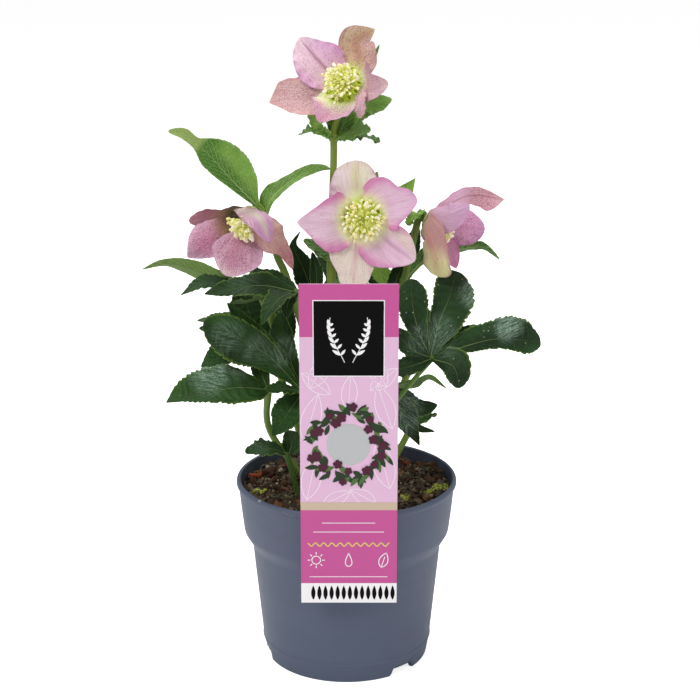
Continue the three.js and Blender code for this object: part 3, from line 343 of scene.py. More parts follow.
# Writes shader nodes into one tree. A value may be a number, a colour "#rrggbb" or a signal.
class NodeWriter:
    def __init__(self, tree, material=None):
        self.tree = tree
        self.material = material

    def put(self, socket, value):
        if isinstance(value, Signal):
            self.tree.links.new(value.socket, socket)
        else:
            socket.default_value = (*colour(value), 1.0) if isinstance(value, str) else value

    # Adds a node with its inputs, by name or number, and its settings.
    def add(self, kind, inputs, **settings):
        node = self.tree.nodes.new("ShaderNode" + kind)
        for key, value in settings.items():
            setattr(node, key, value)
        for key, value in inputs.items():
            self.put(node.inputs[key], value)
        return Outputs(self, node.outputs)

    # Math of up to three values, named as Blender names it.
    def calc(self, kind, *values):
        return self.add("Math", dict(enumerate(values)), operation=kind)[0]

    # A value taken from one span to another, along a smooth step or a straight line.
    def mapped(self, value, low, high, toLow=0.0, toHigh=1.0, soft=True):
        spans = {"Value": value, "From Min": low, "From Max": high, "To Min": toLow, "To Max": toHigh}
        return self.add("MapRange", spans, interpolation_type="SMOOTHSTEP" if soft else "LINEAR")["Result"]

    # a x (1 - share) + b x share for two colours, or their product. Numbers pick the node's colour sockets.
    def mixed(self, share, a, b, mode="MIX"):
        return self.add("Mix", {0: share, 6: a, 7: b}, data_type="RGBA", blend_type=mode)[2]

    def noise(self, vector, scale, detail=4.0, rough=0.55, warp=0.0):
        inputs = dict(Vector=vector, Scale=scale, Detail=detail, Roughness=rough, Distortion=warp)
        return self.add("TexNoise", inputs)["Fac"]

    # Round cells, with the distance to each one's middle, or with feature the distance to its edge.
    def cells(self, vector, scale, feature="F1"):
        return self.add("TexVoronoi", dict(Vector=vector, Scale=scale), feature=feature)

    def attribute(self, name):
        return self.add("Attribute", {}, attribute_name=name)

    def split(self, vector):
        return self.add("SeparateXYZ", {0: vector})

    # The three values of an attribute that the piece has at each point.
    def parts(self, name):
        return self.split(self.attribute(name)["Vector"])

    def joined(self, x, y, z):
        return self.add("CombineXYZ", {0: x, 1: y, 2: z})[0]

    def place(self):
        return self.add("TexCoord", {})["Object"]

    def bump(self, height, strength, distance):
        return self.add("Bump", dict(Height=height, Strength=strength, Distance=distance))["Normal"]

    def group(self, tree, **values):
        return self.add("Group", values, node_tree=tree)

    # Links a value to a socket of the material's own shader.
    def feed(self, key, value):
        self.put(self.tree.nodes["Principled BSDF"].inputs[key], value)


# A material whose shader has the given constants, as a writer of its nodes.
def newMaterial(name, **constants):
    material = bpy.data.materials.new(name)
    material.use_nodes = True
    n = NodeWriter(material.node_tree, material)
    for key, value in constants.items():
        n.feed(key.replace("_", " "), value)
    return n


# A node group with named inputs, their starting values, and outputs; build gets a writer and the inputs.
def newGroup(name, inputs, outputs, build):
    tree = bpy.data.node_groups.new(name, "ShaderNodeTree")
    sockets = [("INPUT", key, value) for key, value in inputs.items()]
    sockets += [("OUTPUT", key, None) for key in outputs]
    for way, key, value in sockets:
        kind = "NodeSocketColor" if key == "Color" else "NodeSocketFloat"
        made = tree.interface.new_socket(name=key, in_out=way, socket_type=kind)
        if value is not None:
            made.default_value = value
    n = NodeWriter(tree)
    given = Outputs(n, tree.nodes.new("NodeGroupInput").outputs)
    end = tree.nodes.new("NodeGroupOutput").inputs
    for key, value in build(n, given).items():
        n.put(end[key], value)
    return tree


# Patches of lighter and darker colour at two scales: colour x (1 + strength x (noise - 0.5)).
def buildMottle(n, given):
    place = n.place()
    large = n.noise(place, given["Scale"], 3)
    fine = n.noise(place, given["Scale"] * 9.0, 5, 0.65)
    both = large * 0.65 + fine * 0.35
    change = n.calc("MULTIPLY_ADD", both - 0.5, given["Strength"], 1.0)
    return {"Color": n.mixed(1.0, given["Color"], n.joined(change, change, change), "MULTIPLY"),
            "Value": both}


# Veins of a blade from its flat coordinates: a rib that thins to the tip, and side veins that lean forward,
# a spacing apart, bent a little by noise. Height is the groove that they leave in the face.
def buildVeins(n, given):
    x, y, s = n.parts("flat")
    off = n.calc("ABSOLUTE", x)
    bend = (n.noise(n.place(), 110.0, 2) - 0.5) * 2.4
    leftOver = n.calc("LESS_THAN", x, 0.0) * 0.43
    lean = off * given["Lean"]
    run = (y - lean + bend) / given["Spacing"]
    share = n.calc("FRACT", run + leftOver)
    apart = n.calc("ABSOLUTE", share - 0.5)
    line = n.mapped(apart, 0.5 - given["Width"], 0.5)
    near = n.mapped(off, 0.2, 9.0, 1.0, 0.25)
    side = line * near
    ribHalf = n.mapped(s, 0.0, 1.0, given["Rib"], given["Rib"] * 0.3, False)
    rib = n.mapped(off / ribHalf, 0.5, 1.2, 1.0, 0.0)
    net = n.cells(n.joined(x, y, s), 0.75, "DISTANCE_TO_EDGE")["Distance"]
    mesh = n.mapped(net, 0.0, 0.12, 1.0, 0.0)
    crease = n.noise(n.joined(y - lean, off * 0.35, s), 0.9, 3, 0.6)
    height = n.calc("MULTIPLY_ADD", mesh, -0.3, crease) - (side * 0.8 + rib)
    return {"Rib": rib, "Side": side, "Net": mesh, "Crease": crease, "Height": height}


mottle = newGroup("mottle", dict(Color=(1, 1, 1, 1), Strength=0.3, Scale=40.0), ["Color", "Value"],
                  buildMottle)
veins = newGroup("veins", dict(Spacing=4.6, Lean=1.1, Width=0.09, Rib=0.7),
                 ["Rib", "Side", "Net", "Crease", "Height"], buildVeins)


# Leaves and bracts: the piece's own tint with lighter rib and veins, and a grooved face with half a gloss. A
# noise patch lets wax bloom with some painted sheen show, a painted sheen breaks on creases, dust lies in
# round specks, and the back is dull.
dustTint = "#c3c7ae"


def leafMaterial(name, look):
    n = newMaterial(name, Specular_IOR_Level=look["specular"])
    tint = n.attribute("tint")["Color"]
    speckle, under, paintedSheenShare = n.parts("marks")
    patches = n.group(mottle, Color=tint, Strength=look["mottle"], Scale=55.0)
    lines = n.group(veins, Spacing=look["spacing"], Lean=look["lean"], Width=look["width"], Rib=look["rib"])
    # Wax bloom in noise patches, partly a painted sheen.
    bloom = n.mapped(n.noise(n.place(), 34.0, 3, 0.6), 0.48, 0.7, 0.0, look["bloomShow"])
    base = n.mixed(bloom, patches["Color"], look["bloom"])
    base = n.mixed(lines["Side"] * look["sideShow"], base, look["vein"])
    base = n.mixed(lines["Net"] * look["netShow"], base, look["vein"])
    share = n.parts("flat")[2]
    ribShow = n.mapped(share, 0.0, 0.9, look["ribShow"], look["ribShow"] * 0.3)
    base = n.mixed(lines["Rib"] * ribShow, base, look["ribColour"])
    # Painted sheen: a grey highlight painted where the marks ask, broken by creases and the vein net.
    crinkle = n.mapped(lines["Crease"], 0.42, 0.6, 0.2, 1.0) - lines["Net"] * 0.6
    sheen = paintedSheenShare * look["sheenShow"] * n.calc("MAXIMUM", crinkle, 0.1)
    base = n.mixed(sheen, base, look["sheen"])
    specks = n.cells(n.place(), 300.0)
    chosen = n.calc("LESS_THAN", n.split(specks["Color"])[0], speckle)
    dust = n.mapped(specks["Distance"], 0.07, 0.14, 1.0, 0.0) * chosen
    base = n.mixed(dust * 0.75, base, dustTint)
    n.feed("Base Color", base)
    gloss = n.mapped(patches["Value"], 0.3, 0.7, look["roughLow"], look["roughHigh"])
    rough = gloss + under * 0.2
    n.feed("Roughness", rough)
    grain = n.noise(n.place(), 1400.0, 3) * 0.35
    height = lines["Height"] + grain
    n.feed("Normal", n.bump(height, look["relief"], 0.0005))
    return n.material


# Sepals: the piece's own tint, fine streaks along the blade, small dark dots where speckles ask for them, and
# a painted glow: near the centre the colour is also given off as light, painted light on the shaded heart.
def sepalMaterial(name, look):
    n = newMaterial(name, Specular_IOR_Level=0.3, Sheen_Weight=0.06, Sheen_Roughness=0.5,
                    Emission_Strength=look["glow"])
    tint = n.attribute("tint")["Color"]
    x, y, s = n.parts("flat")
    marks = n.parts("marks")
    own = marks[2] * 3.7
    patches = n.group(mottle, Color=tint, Strength=look["mottle"], Scale=70.0)
    spreadX = x / (0.35 + s * 0.65)
    streak = n.noise(n.joined(spreadX * 1.5, y * 0.1, own), 1.0, 4, 0.65)
    streaks = n.mapped(streak, 0.48, 0.68)
    strength = streaks * (look["streak"] + marks[0] * 0.2)
    base = n.mixed(strength, patches["Color"], look["streakColour"])
    pale = n.mapped(streak, 0.3, 0.44, 1.0, 0.0)
    base = n.mixed(pale * 0.4, base, look["paleStreak"])
    spot = n.joined(x, y, own)
    dots = n.cells(spot, look["dotScale"])
    drawn = n.split(dots["Color"])
    chosen = n.calc("LESS_THAN", drawn[0], marks[0])
    size = n.mapped(drawn[1], 0.0, 1.0, look["dotSmall"], look["dotLarge"], False)
    dot = n.mapped(dots["Distance"] - size, -0.12, 0.06, 1.0, 0.0)
    dot = dot * chosen
    dot = dot * n.mapped(marks[0], 0.0, 1.0, look["dotShow"] * 0.4, look["dotShow"], False)
    base = n.mixed(dot, base, look["dotColour"])
    n.feed("Base Color", base)
    # Painted glow: the colour is given off as light near the flower's centre, fading out along the sepal.
    heart = n.mapped(s, look["glowFull"], look["glowEnd"], 1.0, 0.0)
    n.feed("Emission Color", n.mixed(heart, "#000000", base))
    n.feed("Roughness", n.mapped(patches["Value"], 0.3, 0.7, 0.42, 0.6))
    fine = n.noise(n.joined(spreadX * 2.2, y * 0.22, own), 1.0, 3)
    height = streak * 1.2 + fine * 0.5
    n.feed("Normal", n.bump(height, 0.42, 0.0006))
    return n.material


# Plain living parts such as stalks, nectaries and anthers: own tint, streaks along or grains, and where the
# look asks, a painted glow that gives off their own colour as light.
def fleshMaterial(name, look):
    n = newMaterial(name, Specular_IOR_Level=0.4, Emission_Strength=look.get("glow", 0.0))
    tint = n.attribute("tint")["Color"]
    x, y, _ = n.parts("flat")
    patches = n.group(mottle, Color=tint, Strength=look["mottle"], Scale=look["scale"])
    lines = n.noise(n.joined(n.calc("SINE", x), y * 0.05, n.calc("COSINE", x)), 2.4, 3)
    base = n.mixed(n.mapped(lines, 0.5, 0.7, 0.0, look["streak"]), patches["Color"], look["streakColour"])
    n.feed("Base Color", base)
    # Painted glow: the colour is given off as light, as strongly as the look asks.
    n.feed("Emission Color", base)
    n.feed("Roughness", n.mapped(patches["Value"], 0.3, 0.7, look["roughLow"], look["roughHigh"]))
    grain = n.noise(n.place(), look["grain"], 4)
    height = grain * 0.5 + lines * 0.5
    n.feed("Normal", n.bump(height, look["relief"], 0.0003))
    return n.material


# Place scaled alike in x and y, and by its own number in z.
def stretched(n, x, y, z, flatScale, upScale):
    return n.joined(x * flatScale, y * flatScale, z * upScale)


# Moulded pot plastic: faint flow bands, fine grain, dull scuffs, a paler blue-grey low down, and dust on the
# collar.
def potMaterial(look):
    n = newMaterial("potPlastic", Specular_IOR_Level=0.2, Coat_Weight=0.02, Coat_Roughness=0.4)
    place = n.place()
    x, y, z = n.split(place)
    patches = n.group(mottle, Color=look["body"], Strength=look["mottle"], Scale=14.0)
    height = z * 1000.0
    band = n.noise(stretched(n, x, y, z, 2.0, 60.0), 1.0, 3)
    base = n.mixed(n.mapped(band, 0.4, 0.65, 0.0, 0.25), patches["Color"], look["pale"])
    low = n.mapped(height, 0.0, 60.0, 0.35, 0.0)
    base = n.mixed(low, base, look["low"])
    scuffs = n.noise(stretched(n, x, y, z, 3.0, 0.6), 90.0, 5, 0.7)
    scuff = n.mapped(scuffs, 0.62, 0.78)
    base = n.mixed(scuff * 0.3, base, look["scuff"])
    grains = n.cells(place, 420.0)["Distance"]
    rimLow = n.mapped(height, 88.0, 99.0)
    where = n.mapped(n.noise(place, 38.0, 3), 0.5, 0.62)
    dust = n.mapped(grains, 0.1, 0.25, 1.0, 0.0) * (rimLow * where)
    base = n.mixed(dust * 0.6, base, look["dust"])
    for sx, sy, sz, size, shade in look["specks"]:
        apart = n.add("VectorMath", {0: place, 1: (sx * mm, sy * mm, sz * mm)}, operation="DISTANCE")
        near = n.mapped(apart["Value"] * 1000.0, size * 0.6, size, 0.85, 0.0)
        base = n.mixed(near, base, shade)
    n.feed("Base Color", base)
    worn = n.calc("MAXIMUM", scuff, dust) * 0.2
    rough = n.mapped(patches["Value"], 0.3, 0.7, 0.4, 0.52) + worn
    n.feed("Roughness", rough)
    grain = n.noise(place, 900.0, 3)
    relief = grain * 0.25 + (band * 0.5 + dust)
    n.feed("Normal", n.bump(relief, 0.12, 0.0004))
    return n.material


# Peat: crumbs of several browns, paler fibres, and painted shade in the hollows, dark where the relief is
# low.
def soilMaterial(name, look):
    n = newMaterial(name, Specular_IOR_Level=0.25)
    place = n.place()
    tint = n.attribute("tint")["Color"]
    patches = n.group(mottle, Color=tint, Strength=look["mottle"], Scale=90.0)
    crumbs = n.cells(place, look["crumb"])
    own = n.split(crumbs["Color"])
    base = n.mixed(n.mapped(own[0], 0.5, 1.0, 0.0, 0.5), patches["Color"], look["warm"])
    base = n.mixed(n.mapped(own[1], 0.86, 0.95, 0.0, 0.7), base, look["pale"])
    fibre = n.noise(place, 500.0, 6, 0.75, 1.5)
    # Painted shade: dark where the fibre noise, which also shapes the relief, is low.
    base = n.mixed(n.mapped(fibre, 0.3, 0.46, 0.7, 0.0), base, look["dark"])
    base = n.mixed(n.mapped(fibre, 0.63, 0.75, 0.0, 0.35), base, look["pale"])
    n.feed("Base Color", base)
    n.feed("Roughness", n.mapped(fibre, 0.3, 0.7, 0.75, 1.0))
    height = fibre - crumbs["Distance"] * 0.7
    n.feed("Normal", n.bump(height, 0.8, 0.0012))
    return n.material


# Printed card: one ink with a fine screen, a little paper fibre under the varnish.
def printMaterial(name, ink, rough=0.45, specular=0.3):
    n = newMaterial(name, Specular_IOR_Level=specular)
    place = n.place()
    patches = n.group(mottle, Color=ink, Strength=0.06, Scale=60.0)
    screen = n.cells(place, 2200.0)["Distance"]
    dark = n.mixed(n.mapped(screen, 0.1, 0.45, 0.05, 0.0), patches["Color"], "#000000")
    n.feed("Base Color", dark)
    n.feed("Roughness", n.mapped(patches["Value"], 0.3, 0.7, rough, rough + 0.08))
    n.feed("Normal", n.bump(n.noise(place, 700.0, 4), 0.06, 0.0002))
    return n.material


leafGreen = leafMaterial("leafGreen", dict(
    specular=0.22, mottle=0.9, spacing=4.6, lean=veinLean, width=0.055, rib=0.36, sideShow=0.55,
    netShow=0.08, ribShow=0.8,
    vein="#557a3c", ribColour="#93ad6e", bloom="#47683f", bloomShow=0.1, sheen="#9cb8a2", sheenShow=1.0,
    roughLow=0.3, roughHigh=0.45, relief=1.0))
bractGreen = leafMaterial("bractGreen", dict(
    specular=0.2, mottle=0.5, spacing=4.2, lean=veinLean, width=0.07, rib=0.45, sideShow=0.7, netShow=0.24,
    ribShow=0.7,
    vein="#b8d894", ribColour="#b3c878", bloom="#6f8a58", bloomShow=0.15, sheen="#a9bd8c", sheenShow=0.0,
    roughLow=0.42, roughHigh=0.58, relief=0.5))
sepalPink = sepalMaterial("sepalPink", dict(
    mottle=0.3, streak=0.36, streakColour="#c0789a", dotScale=1.5, dotSmall=0.3, dotLarge=0.46,
    dotShow=0.75,
    dotColour="#8c3850", paleStreak="#f6e6ea", glow=0.09, glowFull=0.14, glowEnd=0.4))
stalkGreen = fleshMaterial("stalkGreen", dict(
    mottle=0.3, scale=60.0, streak=0.4, streakColour="#7f9440", roughLow=0.38, roughHigh=0.52, grain=700.0,
    relief=0.35))
nectaryGreen = fleshMaterial("nectaryGreen", dict(
    mottle=0.3, scale=160.0, streak=0.2, streakColour="#7d8a1c", roughLow=0.35, roughHigh=0.5, grain=900.0,
    relief=0.3,
    glow=0.09))
stamenCream = fleshMaterial("stamenCream", dict(
    mottle=0.2, scale=200.0, streak=0.1, streakColour="#e3d39a", roughLow=0.55, roughHigh=0.75,
    grain=1800.0, relief=0.4, glow=0.07))
mossGreen = fleshMaterial("mossGreen", dict(
    mottle=0.6, scale=300.0, streak=0.3, streakColour="#5f6e2e", roughLow=0.8, roughHigh=0.95, grain=1500.0,
    relief=0.8))
potPlastic = potMaterial(dict(
    body="#586073", pale="#626a7e", low="#5f697d", scuff="#6d7482", dust="#8d7f6c", mottle=0.16,
    specks=[(-30.3, -48.8, 90.8, 0.6, "#23201f"), (32.0, -47.8, 93.2, 0.7, "#2c2622"),
            (-45.2, -37.8, 101.6, 1.3, "#aaa79c")]))
peat = soilMaterial("peat", dict(mottle=0.9, crumb=330.0, warm="#53402f", pale="#8b7c66", dark="#1a140f"))
barkBrown = soilMaterial("barkBrown", dict(
    mottle=0.8, crumb=240.0, warm="#6b4028", pale="#9a7654", dark="#22130c"))


# Leaves: foot in the soil, what the stalk passes, its hub, and its leaflets. Each has its rib's points after
# the hub or its own start, all from the hub, the way it faces, and half widths at even stations before its
# tip. What most leaflets of a leaf share stands beside its hub.
# Flowers: centre, the way each looks, its stem, its sepals, with ribs from its centre, and its bracts.
leaves = {}
leaves["left_broad"] = dict(foot=[-13, -4], via=[[-16, -7, 118]], hub=[-23, -14, 154], blades=[
    dict(rib=[[-16.5, -8, 21], [-32, -13, 32.5], [-50, -15, 42.5]], face=[-0.25, -0.85, 0.45],
         right=[1, 2.5, 5, 8, 10, 9.5], left=[1, 3, 7, 10, 13, 12], tipRound=2),
    dict(start=[0, 1, -0.5], rib=[[-13.5, -3, 20], [-26, -5, 35], [-38.5, -6, 50]], face=[-0.1, -0.85, 0.5],
         right=[1, 2.5, 4, 5, 5, 3.5], left=[1, 3, 5, 6, 6, 4]),
    dict(start=[0, 2, -1], rib=[[-8, 5, 20.5], [-12, 8, 41.5]], face=[0.2, -0.95, 0.2],
         right=[1, 2, 4, 5, 5, 4], left=[1, 3, 7, 10, 10, 7], tipRound=1.8),
    dict(start=[0, -2, 0], rib=[[-6.5, -15, -5.5], [-15.5, -21, -17.5]], face=[-0.2, -0.9, 0.35],
         right=[1, 5, 8, 9, 8, 4], left=[1, 5, 9, 10, 8, 5], tipRound=1.3),
    dict(start=[0, -2, 0.5], rib=[[-9.5, -16, 6.5], [-18.5, -23, 8]], face=[-0.2, -0.7, 0.7],
         right=[1, 3.5, 5, 4.5], left=[1, 3.5, 4.5, 4]),
])
leaves["left_low"] = dict(foot=[-19, -12], via=[[-40, -20, 133.5]], hub=[-41, -25, 158.5], blades=[
    dict(rib=[[-19, -11, 4], [-51, -19, -1]], face=[0, -0.6, 0.8], right=[2, 9, 14, 14.5, 15, 10.5],
         left=[2, 10, 12, 10.5, 7, 2.5], tipRound=1.1),
    dict(rib=[[-3.5, 4, 7.5], [-8, 4, 15]], face=[0, -0.8, 0.6], half=[1, 3, 4.5, 4]),
])
leaves["left_upper"] = dict(foot=[-7, -10], via=[[-12, -14, 140]], hub=[-25.5, -22, 210],
    face=[0, -0.7, 0.7], blades=[
    dict(rib=[[-17, -10, 6], [-33, -16, 5.5], [-46, -18, 3.5]], right=[1, 5, 7.5, 7, 6.5, 4.5],
         left=[1, 5, 7, 7, 5.5, 3.5], tipRound=1.2),
    dict(rib=[[-7, -16, 1.5], [-12.5, -24, -2.5], [-17, -28, -10]], face=[-0.3, -0.75, 0.6],
         right=[2, 8, 9, 8, 6, 3.5], left=[1, 3, 4.5, 5, 4.5, 3], tipRound=1.2),
    dict(start=[0, 2, -0.5], rib=[[-10, 7, 4.5], [-20, 9, 9.5]], half=[1, 4, 5, 4]),
    dict(start=[0, -2, 0], rib=[[-4, -10, -2.5], [-5, -14, -10]], face=[0.2, -0.9, 0.3],
         half=[1, 3, 3.5, 3]),
])
leaves["left_high"] = dict(foot=[-15, 4], via=[[-27, 2, 150]], hub=[-44, -8, 204], half=[1, 5, 7, 5],
    blades=[
    dict(rib=[[-20.5, -5, 9], [-36.5, -11, 18], [-48.5, -15, 21.5], [-60.5, -18, 19]], face=[0, 0.75, 0.6],
         half=[1, 4, 6.5, 6.5, 5.5, 3], tipRound=1.1),
    dict(rib=[[-16, -11, 7.5], [-28, -21, 12.5], [-40, -26, 7.5]], face=[0, -0.6, 0.8],
         right=[1, 4, 6, 7, 6, 3.5], left=[1, 3, 4, 4, 4, 3], tipRound=1.1),
    dict(rib=[[-8.5, -8, -1], [-16.5, -11, -0.5]], face=[0, 0.4, 0.9]),
    dict(start=[-0.5, 2, -0.5], rib=[[-1, 14, 6], [-7.5, 18, 11.5]], face=[0, -0.5, 0.85]),
])
leaves["right_broad"] = dict(foot=[8, -10], via=[[19.5, -27, 139], [26.5, -33, 155.5]], hub=[44, -30, 177],
    blades=[
    dict(start=[-1, 1, 1], rib=[[-7, 4, 14], [-10, 7, 27.5], [-10.5, 11, 39.5]], face=[0, -0.95, 0.3],
         half=[1, 3, 5, 7, 8.5, 8], tipRound=2),
    dict(start=[-0.5, 0, 1.5], rib=[[4, 7, 17.5], [9.5, 15, 29], [13, 25, 40.5]], face=[0.1, -0.95, 0.3],
         right=[1, 6, 11.5, 13, 13.5, 11], left=[1, 3.5, 6, 7.5, 9.5, 9.5], tipRound=2),
    dict(start=[0.5, 0, 0], rib=[[19, 5, 5.5], [36, 12, 7], [59, 25, 1.5]], face=[0.1, -0.85, 0.5],
         right=[1, 2.5, 4.5, 5.5, 7, 8], left=[1, 4.5, 9, 10, 12.5, 11], tipRound=2),
    dict(start=[1, -2, 0], rib=[[10.5, -10, -1.5], [13.5, -15, -11.5]], face=[0.1, -0.9, 0.4],
         right=[1, 3, 5, 6.5, 6.5, 5], left=[1, 5, 9, 10, 8, 6], tipRound=2),
    dict(start=[0, -1, 0], rib=[[-10.5, -12, -0.5], [-23, -19, -1.5]], face=[-0.1, -0.7, 0.7],
         half=[1, 4, 6, 6]),
    dict(start=[-1, 0, 0.5], rib=[[-10.5, -6, 6.5], [-21, -8, 18.5]], face=[0, -0.85, 0.5],
         half=[1, 3.5, 5, 5]),
    dict(start=[1.5, 2, 0.5], rib=[[15, 10, 10], [26, 14, 13.5]], face=[0, -0.7, 0.7], half=[1, 3, 3.5, 3]),
])
leaves["right_low"] = dict(foot=[15, -4], via=[[19, -7, 118]], hub=[24.5, -18, 157], blades=[
    dict(rib=[[4, -6, -11], [8.5, -13, -18.5], [13.5, -18, -25.5]], face=[0.1, -0.85, 0.5],
         right=[1, 5, 7, 6.5, 4.5, 2], left=[1, 5, 8.5, 8.5, 6, 3.5], tipRound=1.2),
    dict(start=[0.5, 0, -0.5], rib=[[12.5, 5, -9], [24, 8, -11.5]], face=[0, -0.8, 0.6],
         right=[1, 6, 9.5, 10, 9, 6], left=[1, 4, 4, 3, 2, 1.5], tipRound=1.5),
    dict(start=[0, 0, -2], rib=[[11.5, 8, -23], [23, 10, -27.5]], face=[0.2, -0.6, 0.8],
         half=[1, 3, 3, 2.5]),
    dict(start=[0.5, 0, 1], rib=[[11.5, 7, 1.5], [20, 12, 2.5], [29, 15, -4.5]], face=[0, -0.5, 0.85],
         right=[1, 4, 5, 3, 2.5, 1.8], left=[1, 2, 2, 1.5, 1.8, 1.2]),
])
leaves["centre_left"] = dict(foot=[-5, 12], via=[[-10, 12, 150]], hub=[-16.5, 8, 197.5], blades=[
    dict(rib=[[-6.5, 3, 17.5], [-11.5, 3, 29.5], [-8, 1, 38]], face=[0, -0.9, 0.4],
         right=[1, 4, 5.5, 6, 4, 1.5], left=[1, 5, 7, 6, 4, 1.5]),
    dict(rib=[[0.5, -4, 15.5], [-1.5, -4, 28]], face=[0.3, -0.9, 0.2], half=[1, 3.5, 4, 3]),
    dict(rib=[[10, 10, 9.5], [1, 18, 21.5]], face=[0, -0.8, 0.6], half=[1, 4, 5, 4]),
    dict(rib=[[-16, 6, -4], [-29, 6, -7.5]], face=[-0.1, -0.8, 0.6], half=[1, 5, 6, 4.5]),
])
leaves["centre_right"] = dict(foot=[6, 10], via=[[12, 10, 150]], hub=[25, 8, 198.5], blades=[
    dict(rib=[[2, -2, 13], [7, -2, 21]], face=[0, -0.9, 0.4], half=[1, 4, 5.5, 4]),
    dict(rib=[[8, 6, 21.5], [13, 6, 40]], face=[-0.1, -0.95, 0.2], half=[1, 4.5, 6, 4.5]),
    dict(rib=[[-8, 6, 8.5], [-17.5, 8, 19]], face=[0, -0.8, 0.6], half=[1, 4, 5, 4]),
    dict(rib=[[15, 6, -12.5], [27, 8, -24.5]], face=[0, -0.7, 0.7], half=[1, 6, 8, 6]),
])
leaves["left_rear"] = dict(foot=[-21, -3], via=[[-25, -2, 125]], hub=[-38, 4, 165], blades=[
    dict(rib=[[-19, -4, 8], [-39.5, -9, 0]], face=[-0.1, -0.8, 0.6], right=[1, 5, 7, 8], left=[1, 5, 7, 6],
         tipRound=1.3),
    dict(rib=[[-19, -2, 16], [-40.5, -4, 20]], face=[-0.1, -0.7, 0.7], half=[1, 5, 7, 5]),
    dict(start=[0, 2, -0.5], rib=[[4.5, 4, 14.5], [8.5, 4, 29]], face=[0.1, -0.9, 0.3], half=[1, 5, 6, 5]),
    dict(start=[0, 2, -0.5], rib=[[-13, 6, 22], [-18, 8, 42]], face=[0, -0.7, 0.7], half=[1, 9, 13, 10]),
])
leaves["base"] = dict(foot=[-26, -20], via=[], hub=[-31.5, -26, 123.5], blades=[
    dict(rib=[[-9.5, -5, 4.5], [-21.5, -7, 3.5]], face=[0, -0.35, 0.93], half=[1, 4, 6.5, 7, 6.5, 5],
         tipRound=2),
    dict(start=[1.5, -1, 1], rib=[[3, -5, 8.5], [0.5, -7, 15.5]], face=[0, -0.9, 0.4], half=[2, 5, 6.5, 5]),
])
leaves["back_left"] = dict(foot=[-13, 13], via=[[-18, 16, 120]], hub=[-34, 20, 168], face=[-0.3, 0.5, 0.8],
    half=oval(12), blades=[
    dict(rib=[[-22, 6, 12], [-48, 6, 14]]),
    dict(rib=[[-16, 14, 9.5], [-36, 26, 8]]),
    dict(rib=[[-6, 18.5, 7], [-10, 38, 2]]),
    dict(rib=[[-5, 9, 14.5], [-4, 14, 32]], half=oval(10)),
])
leaves["back_middle"] = dict(foot=[1, 18], via=[[2, 24, 125]], hub=[4, 28, 178], face=[0, 0.5, 0.85],
    half=oval(11), blades=[
    dict(rib=[[-10.5, 11, 13.5], [-28, 20, 20]]),
    dict(rib=[[-4.5, 17.5, 8], [-12, 35, 4]], half=oval(12)),
    dict(rib=[[6, 18, 4], [14, 34, -4]], half=oval(12)),
    dict(rib=[[13.5, 12.5, 10], [32, 22, 12]]),
    dict(rib=[[0, 9, 17], [0, 12, 36]], half=oval(9)),
])
leaves["back_right"] = dict(foot=[12, 16], via=[[18, 20, 115]], hub=[36, 24, 158], face=[0.3, 0.5, 0.8],
    half=oval(12), blades=[
    dict(rib=[[22, 3.5, 10], [46, 0, 10]]),
    dict(rib=[[18, 12, 6.5], [38, 21, 2]]),
    dict(rib=[[8, 17.5, 4], [14, 34, -4]]),
    dict(rib=[[6, 7.5, 12], [14, 8, 23]], half=[1.8, 6, 9, 10, 9.2, 6.2]),
])
leaves["back_low"] = dict(foot=[20, 6], via=[[26, 8, 108]], hub=[36, 12, 126], face=[0.2, 0.2, 0.95],
    half=[1.6, 5.4, 8.1, 9, 8.3, 5.6], blades=[
    dict(rib=[[5, 8, 4], [9, 18, 0]]),
    dict(rib=[[5, 14, 2], [8, 28, -5]]),
    dict(rib=[[3, 17, 1], [4, 32, -8]], half=oval(9)),
])

